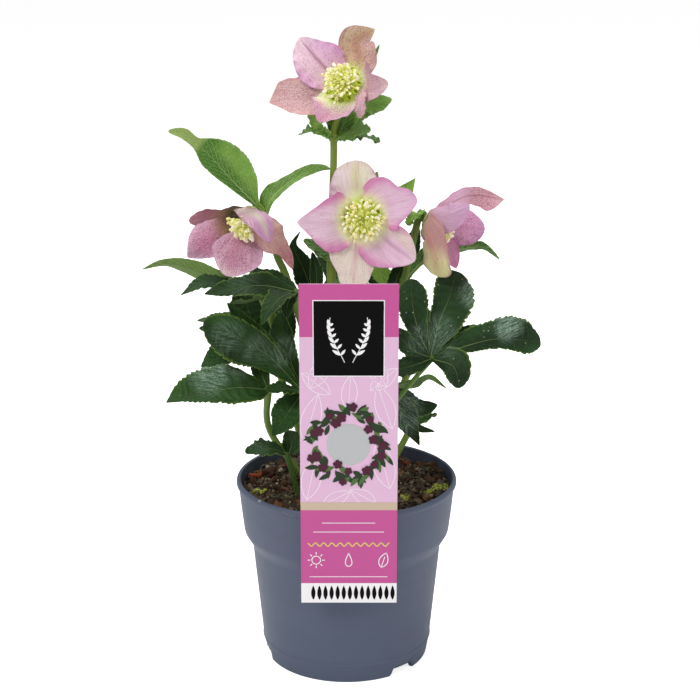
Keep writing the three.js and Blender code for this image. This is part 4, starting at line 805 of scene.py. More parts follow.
openFlower = dict(flare=3.2, cup=0.18, heart=1, ring=5.8, ringZ=4.1)
noddingFlower = dict(flare=1.1, cup=0.1, heart=0.6, ring=1.9, ringZ=1.8)
flowers = {}
flowers["top"] = dict(**openFlower, centre=[0, 0, 312], axis=[-0.3, -0.85, 0.42], reach=45, spread=0.72,
    foot=[-2, 6], joint=[-6.5, 4, 286],
    stem=[[-6, 6, 150], [-8, 5, 220], [-6.5, 4, 274.5], [-6.5, 4, 286], [-5.5, 4, 293]],
    radii=[2.4, 2.3, 2.2, 2.1, 2.4, 1.8],
    sepals=[
        dict(rib=[[-2.5, 1.5, 2], [-12.5, 3, 11.5], [-24, 11, 24]], right=[3, 9, 12.5, 12, 8.5, 5],
             left=[3, 9, 12, 13, 11.5, 8.5]),
        dict(rib=[[-3.5, 0.5, -1], [-21, 0, -4.5], [-39.5, 3, -8]], right=[3, 7, 9.5, 10.5, 10.5, 9],
             left=[3, 8, 10.5, 11, 8.5, 4], tipRound=1.2),
        dict(rib=[[-1, -1.5, -3], [-6.5, -13, -8.5], [-13.5, -20, -15]],
             right=[4, 8, 10.5, 12.5, 10.5, 6.5], left=[4, 9, 12, 12, 9.5, 6]),
        dict(rib=[[3, -1.5, -0.5], [11.5, -12, 0], [21, -18, 3.5]], right=[3, 7, 9, 7.5, 6, 4.5],
             left=[5, 11, 14, 9, 7.5, 5.5], tipRound=2),
        dict(rib=[[1.5, 1, 3], [6, 4, 14], [6, 8, 22.5], [14.5, 5, 29]], right=[3, 8, 11, 11, 6, 4],
             left=[3, 6, 7.5, 9.5, 9, 5], tipRound=1.2),
        dict(rib=[[8, -11, 0], [7.5, -19, -6], [7, -20, -13]], right=[1, 2.5, 3, 3.2, 3.4, 3.2],
             left=[1, 2.5, 3, 3, 3.2, 3.4], tipRound=3),
    ],
    bracts=[
        dict(rib=[[-7, 4, 285], [-15.5, 0, 290], [-24.5, -4, 288.5]], face=[0.1, 0.1, 1],
             half=[2, 4, 5, 4]),
        dict(rib=[[-7.5, 2, 286.5], [-14.5, -1, 291.5], [-19, -3, 300]], face=[0.4, -0.8, 0.2],
             half=[1.5, 2.5, 3.4, 3.4]),
        dict(rib=[[-5.5, 6, 285.5], [-1.5, 5, 292], [2.5, 4, 299.5]], face=[0, -0.9, 0.3],
             right=[2, 7, 9.5, 7], left=[2, 8, 10, 7]),
        dict(rib=[[-5, 2, 285.5], [3, -6, 290], [12.5, -10, 291.5]], face=[0, -0.5, 0.85],
             half=[2, 6, 8.5, 7]),
        dict(rib=[[-5, 3.5, 286], [8, -1, 287.5], [17.5, -3, 284.5]], face=[0, -0.3, 1],
             half=[2, 3, 3.5, 3.5]),
        dict(rib=[[-4.5, 5, 286.5], [9, 9, 299.5], [23.5, 6, 305.5]], face=[0, -0.95, 0.3],
             half=[1.5, 3, 4.5, 5]),
        dict(rib=[[-4.5, 5, 286.5], [7, 15, 310], [17, 12, 332.5]], face=[0, -1, 0.2], half=[1, 2.5, 3, 2]),
    ])
flowers["middle"] = dict(**openFlower, centre=[8, -19, 249], axis=[0.03, -1, -0.04], reach=60, spread=1,
    foot=[3, -5], joint=[8.5, -5, 222], stem=[[4, -5, 150], [7, -5, 205], [8.5, -5, 222], [8.5, -6, 232]],
    radii=[2.3, 2.2, 2, 2, 1.8],
    sepals=[
        dict(rib=[[-0.5, -0.5, 3.5], [-2.5, -3, 15.5], [-3.5, -1, 29]], right=[3, 7, 9.5, 10.5, 10, 8],
             left=[3, 8, 13, 14, 13, 10.5], tipRound=2),
        dict(rib=[[3, 0, 1.5], [13, -7, 7], [28, -5, 9.5]], right=[3, 7, 12, 13.5, 9.5, 6],
             left=[3, 8, 14.5, 16.5, 9.5, 7]),
        dict(rib=[[2.5, 0, -2.5], [14, -5, -12.5], [27, -3.5, -22.5]],
             right=[6, 12.5, 14.5, 14.5, 11.5, 7.5], left=[3, 7.5, 9.5, 10.5, 9.5, 6.5]),
        dict(rib=[[-0.5, 0, -3.5], [-3.5, -4, -20.5], [-4.5, -3, -39.5]], right=[3, 9, 14, 13, 9, 7],
             left=[3, 7, 10, 10.5, 9, 7]),
        dict(rib=[[-3.5, 0, -0.5], [-16.5, -7, -1.5], [-33, -5, -2]], right=[6, 11, 15, 13, 8.5, 4.5],
             left=[6, 12, 15, 15, 10.5, 5.5], tipRound=1.3),
    ],
    bracts=[
        dict(rib=[[7, -5, 222], [0, -1, 218], [-5, 1, 208.5]], face=[-0.2, -0.8, 0.5], half=[1.5, 3, 4, 3]),
        dict(rib=[[9, -6, 221.5], [16, -8, 219.5], [20.5, -8, 210]], face=[0.2, -0.8, 0.5],
             half=[2, 4.5, 6, 4]),
        dict(rib=[[9, -3, 221.5], [23, 4, 245.5], [36, 4, 265]], face=[0, -0.95, 0.2], half=[2, 5, 6.5, 6],
             tipRound=1),
        dict(rib=[[8.5, -4, 223], [12.5, 5, 250.5], [16, 3, 268.5]], face=[0, -0.95, 0.2],
             half=[1.5, 3, 4, 3.5]),
        dict(rib=[[7.5, -6, 221.5], [-8.5, -4, 227], [-22.5, -3, 233.5]], face=[0, -0.8, 0.5],
             half=[1.5, 4, 5, 4.5]),
    ])
flowers["left"] = dict(**noddingFlower, centre=[-48, -12, 249.5], axis=[-0.45, -0.7, -0.55], reach=26,
    spread=0.62, foot=[-6, 2],
    stem=[[-10, 3, 130], [-22, 1, 180], [-31.5, 0, 212.5], [-36, -2, 224], [-39, -4, 236]],
    radii=[2.3, 2.2, 2, 1.8, 1.8, 2],
    sepals=[
        dict(rib=[[-3, 1, 1], [-9, 1.5, 1], [-16.5, -1, -1], [-32.5, -5, -3]], face=[0.1, -0.75, -0.65],
             right=[2, 4, 5, 6, 7.5, 7], left=[3, 7, 10, 10.5, 9, 6], tipRound=2.2),
        dict(rib=[[-2.5, 2.5, -1], [-7, 4, -4], [-17, -0.5, -12.5], [-34, -2, -23]], face=[0.3, -0.9, 0.2],
             right=[3, 8, 11, 12, 12, 9], left=[3, 8, 10, 9.5, 7.5, 4.5], tipRound=1.2),
        dict(rib=[[-0.5, 2.5, -2.5], [-2.5, 4, -7.5], [-8, -1.5, -17], [-14, -6, -32]],
             face=[0.1, -0.9, 0.35], right=[2, 3, 4.5, 9.5, 12.5, 8.5], left=[3, 8, 12, 14, 14, 10]),
        dict(rib=[[3, -0.5, -2], [6, -2.5, -6.5], [9.5, -5, -11.5], [16, -7, -18], [20.5, -7, -28]],
             face=[-0.3, 0.8, -0.6], right=[3, 8, 9, 6.5, 4, 3], left=[2, 6, 8, 8, 4, 2.5]),
        dict(rib=[[-10.5, 3, 2], [-2.5, -6, 2], [5, -15, -0.5], [9.5, -22, -11]], face=[-0.5, 0.75, -0.4],
             right=[1, 3, 5, 6.5, 6.5, 5], left=[1, 3, 6, 8, 8, 5.5]),
    ],
    bracts=[
        dict(
             rib=[[-42.5, -9, 249.5], [-49.5, -12, 257], [-60, -15, 269], [-68, -18, 279],
                  [-74.5, -20, 286], [-81.5, -21, 291.5], [-89, -22, 293]],
             face=[0.15, -0.9, 0.35], right=[1.5, 4, 10.5, 14, 14, 11, 4, 3],
             left=[1, 1.5, 3, 4.5, 6, 6.5, 3.5, 3], tipRound=2),
        dict(
             rib=[[-41.5, -8, 248], [-39, -9, 255.5], [-32, -7, 262.5], [-22.5, -5, 268.5],
                  [-13.5, -3, 271], [-8, -2, 270.5]],
             face=[-0.3, -0.85, 0.4], right=[1.5, 2.5, 2.5, 2.5, 2], left=[2, 6, 4.5, 3.5, 3]),
    ])
flowers["right"] = dict(**noddingFlower, centre=[42, -6, 244.5], axis=[0.8, -0.42, -0.35], reach=28,
    spread=0.62, foot=[5, 2], stem=[[10, 2, 130], [20, 0, 180], [30, -3, 211]], radii=[2.3, 2.2, 2, 1.9],
    sepals=[
        dict(rib=[[2, 1, 3], [6.5, 1, 6], [12, 1, 9], [23.5, 2, 13], [39.5, 0, 11]], face=[0.3, -0.5, -0.7],
             faceTip=[0.1, -0.95, -0.3], right=[3, 6, 7.5, 6, 7.5, 8], left=[3, 6, 7.5, 7, 6, 3],
             tipRound=1.1),
        dict(rib=[[0, -2, 2.5], [2.5, -6.5, 5.5], [10.5, -14, 6.5], [20.5, -15, 11]],
             face=[0.3, 0.85, -0.5], right=[1.5, 2, 3.5, 5, 5.5, 3.5], left=[3, 8, 11, 11, 9, 6]),
        dict(rib=[[2, 3, 0], [6.5, 6.5, -0.5], [17, 5, -4], [30, 0, -4.5]], face=[-0.2, -0.95, -0.1],
             right=[3, 7, 9, 10, 10, 8], left=[3, 7, 9.5, 10, 10, 8], tipRound=1.8),
        dict(rib=[[-1.5, -3, -0.5], [-2, -8, -2.5], [0, -16.5, -6], [3, -16, -16.5], [6, -10, -28]],
             face=[0.6, 0.8, 0.1], right=[3, 9.5, 11, 9, 8.5, 8.5], left=[3, 4, 5, 5.5, 7, 9.5],
             tipRound=3),
        dict(rib=[[0, 2, -3], [2, 4, -7.5], [11.5, 1, -14], [15.5, 0, -25.5]], face=[0.1, -0.95, 0],
             right=[3, 5, 6, 6.5, 6, 4], left=[3, 5, 6, 5, 4, 3]),
    ],
    bracts=[
        dict(
             rib=[[30, -3, 210], [35.5, 0, 216.5], [44, 3, 223], [59, 4, 226.5], [71.5, 2, 228.5],
                  [80.5, -1, 222.5]],
             face=[0, -0.75, 0.65], right=[1, 1.5, 2, 2, 1.5], left=[2.5, 5, 5, 4, 2.5]),
        dict(rib=[[38, -4.5, 246.5], [35.5, -8, 248.5], [31.5, -10, 242.5]], face=[-0.4, -0.6, 0.7],
             half=[2, 4, 4.5, 3.5]),
    ])

# The pot; its outlines hold (radius, z, rounding), its notches are at degrees from the front.
pot = dict(
    foot=44.6, floorZ=4.4, floorThick=2.0, around=240, tint="#4e566a",
    notches=(43, 163, 283), notchHalf=8.5, notchHeight=4.1, notchRound=1.8,
    outside=[(41.4, 4.4, 0.5), (42.0, 0, 0.5), (44.6, 0, 0.7), (46.2, 9.0, 0.3), (46.75, 10.2, 0.4),
             (46.4, 11.4, 0.3),
             (50.7, 55, 6), (51.6, 65.2, 2.2), (56.0, 72.5, 1.4), (57.4, 84, 5), (58.8, 98.4, 0.6),
             (59.9, 98.9, 0.5),
             (60.0, 100.4, 0.9), (59.2, 102, 0.9), (57.6, 101.7, 0.7)],
    inside=[(57.4, 98.4, 2), (56.2, 84, 5), (54.8, 73.1, 1.4), (50.4, 65.8, 2), (49.5, 55, 6),
            (44.6, 6.4, 1.2)],
)


# Outline with each corner made a short curve of its rounding, (1-t)2 a + 2t(1-t) corner + t2 b, with a
# support point on both sides. A rounding reaches over less than half of each side.
cornerReach, supportReach, cornerSteps = 0.42, 1.15, 6


def roundedOutline(corners):
    places = np.array([c[:2] for c in corners], float)
    made = [places[0]]
    for i in range(1, len(corners) - 1):
        before, here, after = places[i - 1], places[i], places[i + 1]
        toBefore, toAfter = unit(before - here), unit(after - here)
        reach = min(corners[i][2], *(np.linalg.norm(end - here) * cornerReach for end in (before, after)))
        a, b = here + toBefore * reach, here + toAfter * reach
        made.append(here + toBefore * reach * supportReach)
        for t in np.linspace(0, 1, cornerSteps):
            made.append((1 - t) ** 2 * a + 2 * t * (1 - t) * here + t ** 2 * b)
        made.append(here + toAfter * reach * supportReach)
    made.append(places[-1])
    return np.array(made)


# Rings of an outline turned about Z.
def turnedRings(outline, around):
    turn = fullTurn(around)
    radius, z = outline[:, :1], outline[:, 1:]
    return np.stack([radius * np.cos(turn), radius * np.sin(turn), z + 0 * turn], -1), turn


# The turned outline; near each notch the foot ring's lower points are lifted to the notch's height.
def makePot():
    piece = newPiece()
    rings, turn = turnedRings(roundedOutline(pot["outside"] + pot["inside"]), pot["around"])
    lift = np.zeros_like(turn)
    for degrees in pot["notches"]:
        middle = math.radians(degrees - 90)
        apart = np.abs((turn - middle + np.pi) % (2 * np.pi) - np.pi) * pot["foot"]
        lift = np.maximum(lift, pot["notchHeight"] * smooth(pot["notchHalf"] - apart, 0, pot["notchRound"]))
    nearFoot = rings[..., 2] < pot["floorZ"] - 0.05
    rings[..., 2] = np.where(nearFoot, np.maximum(rings[..., 2], lift[None, :]), rings[..., 2])
    floorZ, top = pot["floorZ"], pot["floorZ"] + pot["floorThick"]
    addSkin(piece, rings, colour(pot["tint"]), poles=((0, 0, floorZ), (0, 0, top)))
    finishPiece(piece, "potBody", potPlastic, ["pot"])


makePot()


# The soil's shape, and the places (x, y, size) where it is mossy or fibrous.
soilShape = dict(edgeZ=96, mound=2.2, moundReach=52, lump=1.1, top=98.5, edge=56.3, rings=130, around=240,
                 side=[(56.0, 91), (55.4, 80), (54.2, 73.2), (49.9, 65.9), (48.9, 55), (44.0, 7.2),
                       (30, 6.8)])
mossPlaces = [(49.2, -5.2, 3.6), (53.6, -2.1, 2.6), (30.7, -21.6, 2.4), (44, -12, 3), (-47, -14, 2.5)]
fibrePlaces = [(-31, -4, 9), (-28, -19, 7), (40, 12, 9), (48, 26, 6)]


# Height of the soil without its crumbs: a mound under the crown and lumps of three sizes.
def soilHeight(x, y):
    r = np.hypot(x, y)
    mound = soilShape["mound"] * np.maximum(0, 1 - r / soilShape["moundReach"]) ** 0.8
    lumps = np.sin(x * 0.31 + 1.2) * np.cos(y * 0.27) + 0.7 * np.sin(x * 0.13 - y * 0.38 + 2) \
        + 0.5 * np.sin(x * 0.7 + y * 0.55)
    return np.minimum(soilShape["edgeZ"] + mound + soilShape["lump"] * lumps, soilShape["top"])


# Crumbs on that height: ripples of three sizes.
def crumbs(x, y):
    at = np.stack([x, y], -1)
    return 0.8 * ripples(at, 0.9, 3, 12) + 0.5 * ripples(at, 2.1, 4, 14) \
        + 0.3 * np.abs(ripples(at, 4.5, 5, 16))


# Colour of the soil at a place: browns, grey-green where fibres lie, and green where moss grows.
def soilTint(x, y, seed):
    at = np.stack([x, y], -1)
    tint = blend(colour("#3d332b"), colour("#746656"), smooth(ripples(at, 0.35, seed), -0.6, 1.2))
    tint = blend(tint, colour("#5f3524"), 0.5 * smooth(ripples(at, 0.8, seed + 1), 0.6, 1.4))
    for places, shade in ((fibrePlaces, "#5d5a45"), (mossPlaces, "#7b7f34")):
        for px, py, size in places:
            near = np.exp(-((x - px) ** 2 + (y - py) ** 2) / size ** 2)
            patch = near * (0.5 + 0.5 * ripples(at, 1.6, seed + 2))
            tint = blend(tint, colour(shade), np.clip(patch, 0, 0.8))
    return tint


# Rings of the surface from the middle out, closer together outside, and rings of the side below them.
def makeSoil():
    piece = newPiece()
    turn = fullTurn(soilShape["around"])[None, :]
    edge = soilShape["edge"]
    radius = (np.linspace(0.02, 1, soilShape["rings"]) ** 0.85 * edge)[:, None]
    x, y = radius * np.cos(turn), radius * np.sin(turn)
    z = soilHeight(x, y) + crumbs(x, y) * smooth(edge - radius, -4, 6)
    lower, _ = turnedRings(np.array(soilShape["side"]), soilShape["around"])
    rings = np.concatenate([np.stack([x, y, z], -1), lower])
    tints = soilTint(rings[..., 0], rings[..., 1], 11)
    addSkin(piece, rings, tints, poles=((0, 0, z[0].mean()), (0, 0, soilShape["side"][-1][1])))
    finishPiece(piece, "soilPeat", peat, ["soil"])


# A flattened round body with a broken surface, turned at random, resting in the soil at x, y.
def addLump(piece, ball, look, rng, place, long, tint, seed):
    x, y = place
    body = ball * np.array([long, long * rng.uniform(*look["slim"]), long * rng.uniform(*look["flat"])])
    body = body * (1 + look["broken"] * ripples(ball, 3.0, seed, 5))[..., None]
    body = np.sign(body) * np.abs(body) ** look["blocky"] * long ** (1 - look["blocky"])
    tip, spin, roll = rng.normal(0, look["tilt"]), rng.uniform(0, 2 * math.pi), rng.normal(0, look["tilt"])
    ct, st, cs, ss, cr, sr = (f(v) for v in (tip, spin, roll) for f in (math.cos, math.sin))
    aboutZ = np.array([[cs, -ss, 0], [ss, cs, 0], [0, 0, 1]])
    aboutY = np.array([[ct, 0, st], [0, 1, 0], [-st, 0, ct]])
    aboutX = np.array([[1, 0, 0], [0, cr, -sr], [0, sr, cr]])
    body = body @ (aboutZ @ aboutY @ aboutX).T
    z = soilHeight(x, y) + float(crumbs(np.array(x), np.array(y))) * 0.6
    addSkin(piece, body + np.array([x, y, z + long * look["proud"]]), tint)


# Unit ball: (sin lat cos lon, sin lat sin lon, cos lat).
def roundBall(rows, sides):
    lat = np.linspace(0, np.pi, rows + 2)[1:-1, None]
    lon = fullTurn(sides)[None, :]
    return np.stack([np.sin(lat) * np.cos(lon), np.sin(lat) * np.sin(lon), np.cos(lat) + 0 * lon], -1)


# A random place within a radius, alike over its whole area.
def spotWithin(reach, rng):
    r, angle = reach * math.sqrt(rng.uniform(0.01, 1)), rng.uniform(0, 2 * math.pi)
    return np.array([r * math.cos(angle), r * math.sin(angle)])


# A random one of a look's tints.
def drawnTint(look, rng):
    return colour(look["tints"][rng.integers(len(look["tints"]))])


# Small solids scattered on the soil, over all of it or in patches, and some at places of their own.
def scatter(piece, look):
    rng = np.random.default_rng(look["seed"])
    ball = roundBall(look["rows"], look["sides"])
    for i in range(look["count"]):
        place = spotWithin(look["reach"], rng)
        if "patch" in look:
            px, py, size = look["patch"][i % len(look["patch"])]
            place = np.array([px, py]) + rng.normal(size=2) * size * 0.5
        if np.linalg.norm(place) > look["reach"]:
            continue
        tint = drawnTint(look, rng) * rng.uniform(0.7, 1.25)
        addLump(piece, ball, look, rng, place, rng.uniform(*look["size"]), tint, look["seed"] + 7 * i)
    for x, y, long, shade in look.get("own", []):
        addLump(piece, ball, look, rng, (x, y), long, colour(shade), look["seed"] + int(long * 10))


barkChips = dict(
    seed=21, count=150, reach=53, size=(1.2, 3.6), slim=(0.4, 0.75), flat=(0.2, 0.45), rows=7, sides=10,
    broken=0.3, blocky=0.8, tilt=0.5, proud=0.12,
    tints=("#4b3022", "#5f3d2a", "#3d271b", "#54402f", "#2b1d16", "#6f4c36"),
    own=[(-50.2, 10.5, 4.0, "#96482c"), (-47.5, 14.5, 2.6, "#7a3a26"), (-36.1, 32, 3.2, "#74382a"),
         (-35.7, -27.4, 2.4, "#7d3b2a"),
         (34, 28, 3.4, "#6e3527"), (31, 22, 2.4, "#7b4030"), (48, 30, 4.2, "#8a6a4c"),
         (52, 25, 2.2, "#6b4b38")])
peatCrumbs = dict(
    seed=22, count=1100, reach=55, size=(0.5, 1.5), slim=(0.6, 1.0), flat=(0.5, 0.9), rows=4, sides=6,
    broken=0.35, blocky=0.9, tilt=0.6, proud=0.25,
    tints=("#20150f", "#33231a", "#453122", "#1b120d", "#5b4735", "#7d6a50", "#2b1d16", "#b9ab8f"))
mossTufts = dict(
    seed=23, count=230, reach=55.5, size=(0.5, 1.3), slim=(0.7, 1.0), flat=(0.5, 0.9), rows=4, sides=7,
    broken=0.35, blocky=0.95, tilt=0.5, proud=0.5, patch=mossPlaces,
    tints=("#8f9a2f", "#a8b040", "#6f7c2b", "#c0bf62"))
fibreLook = dict(
    seed=31, count=330, reach=53, points=12, sides=5, thick=(0.1, 0.28), length=(4, 15), lift=(0.4, 2.0),
    bend=0.9, tints=("#7d7258", "#4b3a2c", "#231a14", "#a39878", "#6f7153", "#1d1511"))


# Thin fibres that lie over the soil in loose bends, more of them in the fibrous places.
def makeFibres():
    piece = newPiece()
    look = fibreLook
    rng = np.random.default_rng(look["seed"])
    steps = np.linspace(-0.5, 0.5, 5)
    for i in range(look["count"]):
        x, y = spotWithin(look["reach"], rng)
        if i % 2:
            px, py, size = fibrePlaces[(i // 2) % len(fibrePlaces)]
            x, y = np.array([px, py]) + rng.normal(size=2) * size * 0.7
        heading, length = rng.uniform(0, 2 * math.pi), rng.uniform(*look["length"])
        bend = rng.normal(0, look["bend"]) * steps ** 2 * length
        x = x + length * steps * math.cos(heading) - bend * math.sin(heading)
        y = y + length * steps * math.sin(heading) + bend * math.cos(heading)
        inside = np.minimum(1, soilShape["edge"] / np.maximum(np.hypot(x, y), 1e-6))
        x, y = x * inside, y * inside
        z = soilHeight(x, y) + rng.uniform(*look["lift"]) + rng.normal(0, 0.5, 5)
        place, along, _ = evenCurve(np.stack([x, y, z], 1), look["points"])
        thick = rng.uniform(*look["thick"]) * (1 - 0.6 * np.linspace(0, 1, look["points"]))
        addStalk(piece, place, along, thick, look["sides"], drawnTint(look, rng))
    finishPiece(piece, "soilFibres", barkBrown)


# What lies on the soil: chips of bark, crumbs, moss and fibres.
def makeSoilLitter():
    for name, look, material in (("soilBark", barkChips, barkBrown), ("soilCrumbs", peatCrumbs, peat),
                                 ("soilMoss", mossTufts, mossGreen)):
        piece = newPiece()
        scatter(piece, look)
        finishPiece(piece, name, material)
    makeFibres()


makeSoil()
makeSoilLitter()


# The label: its card, its leg into the soil, and what is printed in layers, each an ink step before the last.
card = dict(left=-23.2, right=25.9, low=55.3, high=224.3, front=-62.9, back=-62.1, corner=0.5)
leg = dict(left=-6, right=8, front=-51, thick=0.8, low=70, bend=106, top=113)
inkStep = 0.05  # from one layer's front to the next
behind = 0.002  # between prints of one layer that cross each other
plateThick = 0.045
printed = dict(
    middle=1.2, headLow=197.5, stripHigh=66.2, blockHigh=106.4, bandHigh=4.2,
    panel=(-16.0, 177.7, 18.5, 215.8), panelRim=0.5,
    row=dict(left=-17.0, z=56.9, count=14, step=3.14, length=8.0, width=2.5), line=0.45, ruleHigh=0.35,
    sprig=dict(x=1.25, apart=2.0, bow=7.5, z=184.5, height=23, stem=0.35, pairs=6),
    rules=[(99.2, 13.5), (94.3, 18), (69.6, 20)], waveZ=87.6, iconZ=79.0, icons=(-15.4, 1.2, 17.8),
    wreath=dict(seed=5, z=141.5, radius=17.2, leaves=96, blossoms=19, disc=11.0),
    lines=[(-20, 112, 24, 11, 12), (-21, 143, 26, 11, 16), (-18, 171, 20, 10, 30), (22, 118, 26, 12, -14),
           (23, 150, 24, 11, -18),
           (20, 172, 20, 10, -30), (-8, 168, 18, 9, -52), (12, 170, 18, 9, 50), (-12, 109, 16, 8, 62),
           (15, 110, 15, 8, -60),
           (1, 160, 18, 9, 4)])


# Flat plate with a given outline in X and Z, its front at y and a thickness behind it.
def addPlate(piece, outline, y, thick=plateThick):
    outline = np.asarray(outline, float)
    centre = outline.mean(0)
    front = np.stack([outline[:, 0], np.full(len(outline), y), outline[:, 1]], 1)
    back = front + np.array([0, thick, 0])
    poles = ((centre[0], y, centre[1]), (centre[0], y + thick, centre[1]))
    addSkin(piece, np.stack([front, back]), (1, 1, 1), poles=poles)


# Rectangle in X and Z, its corners rounded where a radius is given.
def boxOutline(left, low, right, high, corner=0.0, steps=6):
    if not corner:
        return np.array([(left, low), (right, low), (right, high), (left, high)])
    centres = [(right - corner, low + corner, -90), (right - corner, high - corner, 0),
               (left + corner, high - corner, 90), (left + corner, low + corner, 180)]
    quarter = np.radians(np.linspace(0, 90, steps))
    parts = []
    for x, z, degrees in centres:
        angle = quarter + math.radians(degrees)
        parts.append(np.stack([x + corner * np.cos(angle), z + corner * np.sin(angle)], 1))
    return np.concatenate(parts)


# Closed band along the points (x, z), so that lines, rings and stems can be printed; ends are square.
def addBand(piece, points, width, y, closed=False):
    p = np.asarray(points, float)
    way = unit(np.roll(p, -1, 0) - np.roll(p, 1, 0)) if closed else unit(np.gradient(p, axis=0))
    out = np.stack([-way[:, 1], way[:, 0]], 1) * width / 2
    deep = y + plateThick
    corners = [(p + out, y), (p - out, y), (p - out, deep), (p + out, deep)]
    rings = np.stack([np.stack([q[:, 0], np.full(len(q), d), q[:, 1]], 1) for q, d in corners], 1)
    addSkin(piece, rings, (1, 1, 1), looped=closed)


# Outline of a pointed leaf from a base, turned by an angle from upright.
def leafOutline(x, z, length, width, degrees):
    t = np.linspace(0, 1, 12)
    half = width / 2 * np.sin(np.pi * t) ** 0.8 * (1 - 0.25 * t)
    off = np.concatenate([half, -half[-2:0:-1]])
    run = np.concatenate([t, t[-2:0:-1]]) * length
    c, s = math.cos(math.radians(degrees)), math.sin(math.radians(degrees))
    return np.stack([x + off * c + run * s, z - off * s + run * c], 1)


# Outline of a blossom with a number of round petals.
def blossomOutline(x, z, radius, petals, turn=0.0):
    t = fullTurn(petals * 10)
    r = radius * (0.68 + 0.32 * np.abs(np.cos(petals * (t - turn) / 2)) ** 0.7)
    return np.stack([x + r * np.cos(t), z + r * np.sin(t)], 1)


# Points of a circle in X and Z.
def circlePoints(x, z, radius, count=40):
    t = fullTurn(count)
    return np.stack([x + radius * np.cos(t), z + radius * np.sin(t)], 1)


# Height of an ink layer: the card's front less a number of ink steps.
def inkLayer(k):
    return card["front"] - inkStep * k


# Finishes a printed piece in one of the inks.
def finishPrint(piece, name, ink):
    finishPiece(piece, name, inks[ink], smoothShade=False)


# The card, and its leg: a bent strip from the card's back over the rim and down into the soil.
def makeCard():
    board = newPiece()
    c = card
    outline = boxOutline(c["left"], c["low"], c["right"], c["high"], c["corner"], 8)
    addPlate(board, outline, c["front"], c["back"] - c["front"])
    inner, root = c["back"] - 0.2, leg["front"] + leg["thick"]
    side = np.array([(inner, leg["top"]), (root, leg["bend"]), (root, leg["low"]),
                     (leg["front"], leg["low"]), (leg["front"], leg["bend"] - 0.5),
                     (inner, leg["top"] - 0.9)])
    rings = np.stack([np.stack([np.full(6, x), side[:, 0], side[:, 1]], 1)
                      for x in (leg["left"], leg["right"])])
    addSkin(board, rings, (1, 1, 1))
    finishPiece(board, "labelCard", inks["pink"], ["label"], smoothShade=False)


# Blocks of flat colour: the head, the lower block, the pale strip, the dark panel with its rim, and the band.
def makeLabelBlocks():
    left, right, row = card["left"], card["right"], printed["row"]
    magenta, white, black, sand = newPiece(), newPiece(), newPiece(), newPiece()
    addPlate(magenta, boxOutline(left, printed["headLow"], right, card["high"]), inkLayer(1))
    addPlate(magenta, boxOutline(left, printed["stripHigh"], right, printed["blockHigh"]), inkLayer(1))
    finishPrint(magenta, "labelMagenta", "magenta")
    panel, rim = np.array(printed["panel"]), printed["panelRim"]
    addPlate(white, boxOutline(*(panel + np.array([-rim, -rim, rim, rim]))), inkLayer(2))
    addPlate(white, boxOutline(left, card["low"], right, printed["stripHigh"]), inkLayer(1))
    finishPrint(white, "labelPaper", "white")
    addPlate(black, boxOutline(*panel), inkLayer(3))
    for k in range(row["count"]):
        x = row["left"] + k * row["step"]
        addPlate(black, leafOutline(x, row["z"], row["length"], row["width"], 0), inkLayer(2))
    finishPrint(black, "labelBlack", "black")
    bandLow = printed["blockHigh"]
    addPlate(sand, boxOutline(left, bandLow, right, bandLow + printed["bandHigh"]), inkLayer(2))
    finishPrint(sand, "labelSand", "sand")


# Fine white drawing: two sprigs on the dark panel, rules, and three small signs: sun, drop and leaf.
def makeLabelDrawing():
    white, yellow = newPiece(), newPiece()
    t = np.linspace(0, 1, 16)
    sprig, middle, line = printed["sprig"], printed["middle"], printed["line"]
    for way in (-1, 1):
        off = sprig["apart"] + sprig["bow"] * np.sin(t * 1.9)
        stem = np.stack([sprig["x"] + way * off, sprig["z"] + sprig["height"] * t ** 0.9], 1)
        addBand(white, stem, sprig["stem"], inkLayer(4))
        for k in range(sprig["pairs"]):
            x, z = stem[2 + 2 * k]
            outer = leafOutline(x, z, 5.0 - 0.3 * k, 1.9, way * (58 - 9 * k))
            inner = leafOutline(x, z, 3.8 - 0.3 * k, 1.5, -way * (38 + 4 * k))
            addPlate(white, outer, inkLayer(5) - behind * k)
            addPlate(white, inner, inkLayer(5) - 0.02 - behind * k)
    for z, reach in printed["rules"]:
        addPlate(white, boxOutline(middle - reach, z, middle + reach, z + printed["ruleHigh"]), inkLayer(2))
    sun, drop, leaf = printed["icons"]
    z = printed["iconZ"]
    addBand(white, circlePoints(sun, z, 2.2), line, inkLayer(2), closed=True)
    for a in fullTurn(8):
        ray = np.linspace(3.0, 4.4, 3)
        addBand(white, np.stack([sun + ray * math.cos(a), z + ray * math.sin(a)], 1), line, inkLayer(2))
    a = fullTurn(40)
    dropLine = np.stack([drop + 2.4 * np.sin(a) * np.sin(a / 2) ** 1.5, z + 0.3 + 3.7 * np.cos(a)], 1)
    addBand(white, dropLine, line, inkLayer(2), closed=True)
    addBand(white, leafOutline(leaf, z - 4.1, 8.4, 5.2, 18), line, inkLayer(2), closed=True)
    addBand(white, np.linspace((leaf, z - 4.1), (leaf + 1.9, z + 1.8), 4), 0.4, inkLayer(2))
    finishPrint(white, "labelWhite", "white")
    x = np.linspace(-19.5, 22, 120)
    addBand(yellow, np.stack([x, printed["waveZ"] + 0.9 * np.sin(x * 1.5)], 1), 0.6, inkLayer(2))
    finishPrint(yellow, "labelWave", "yellow")


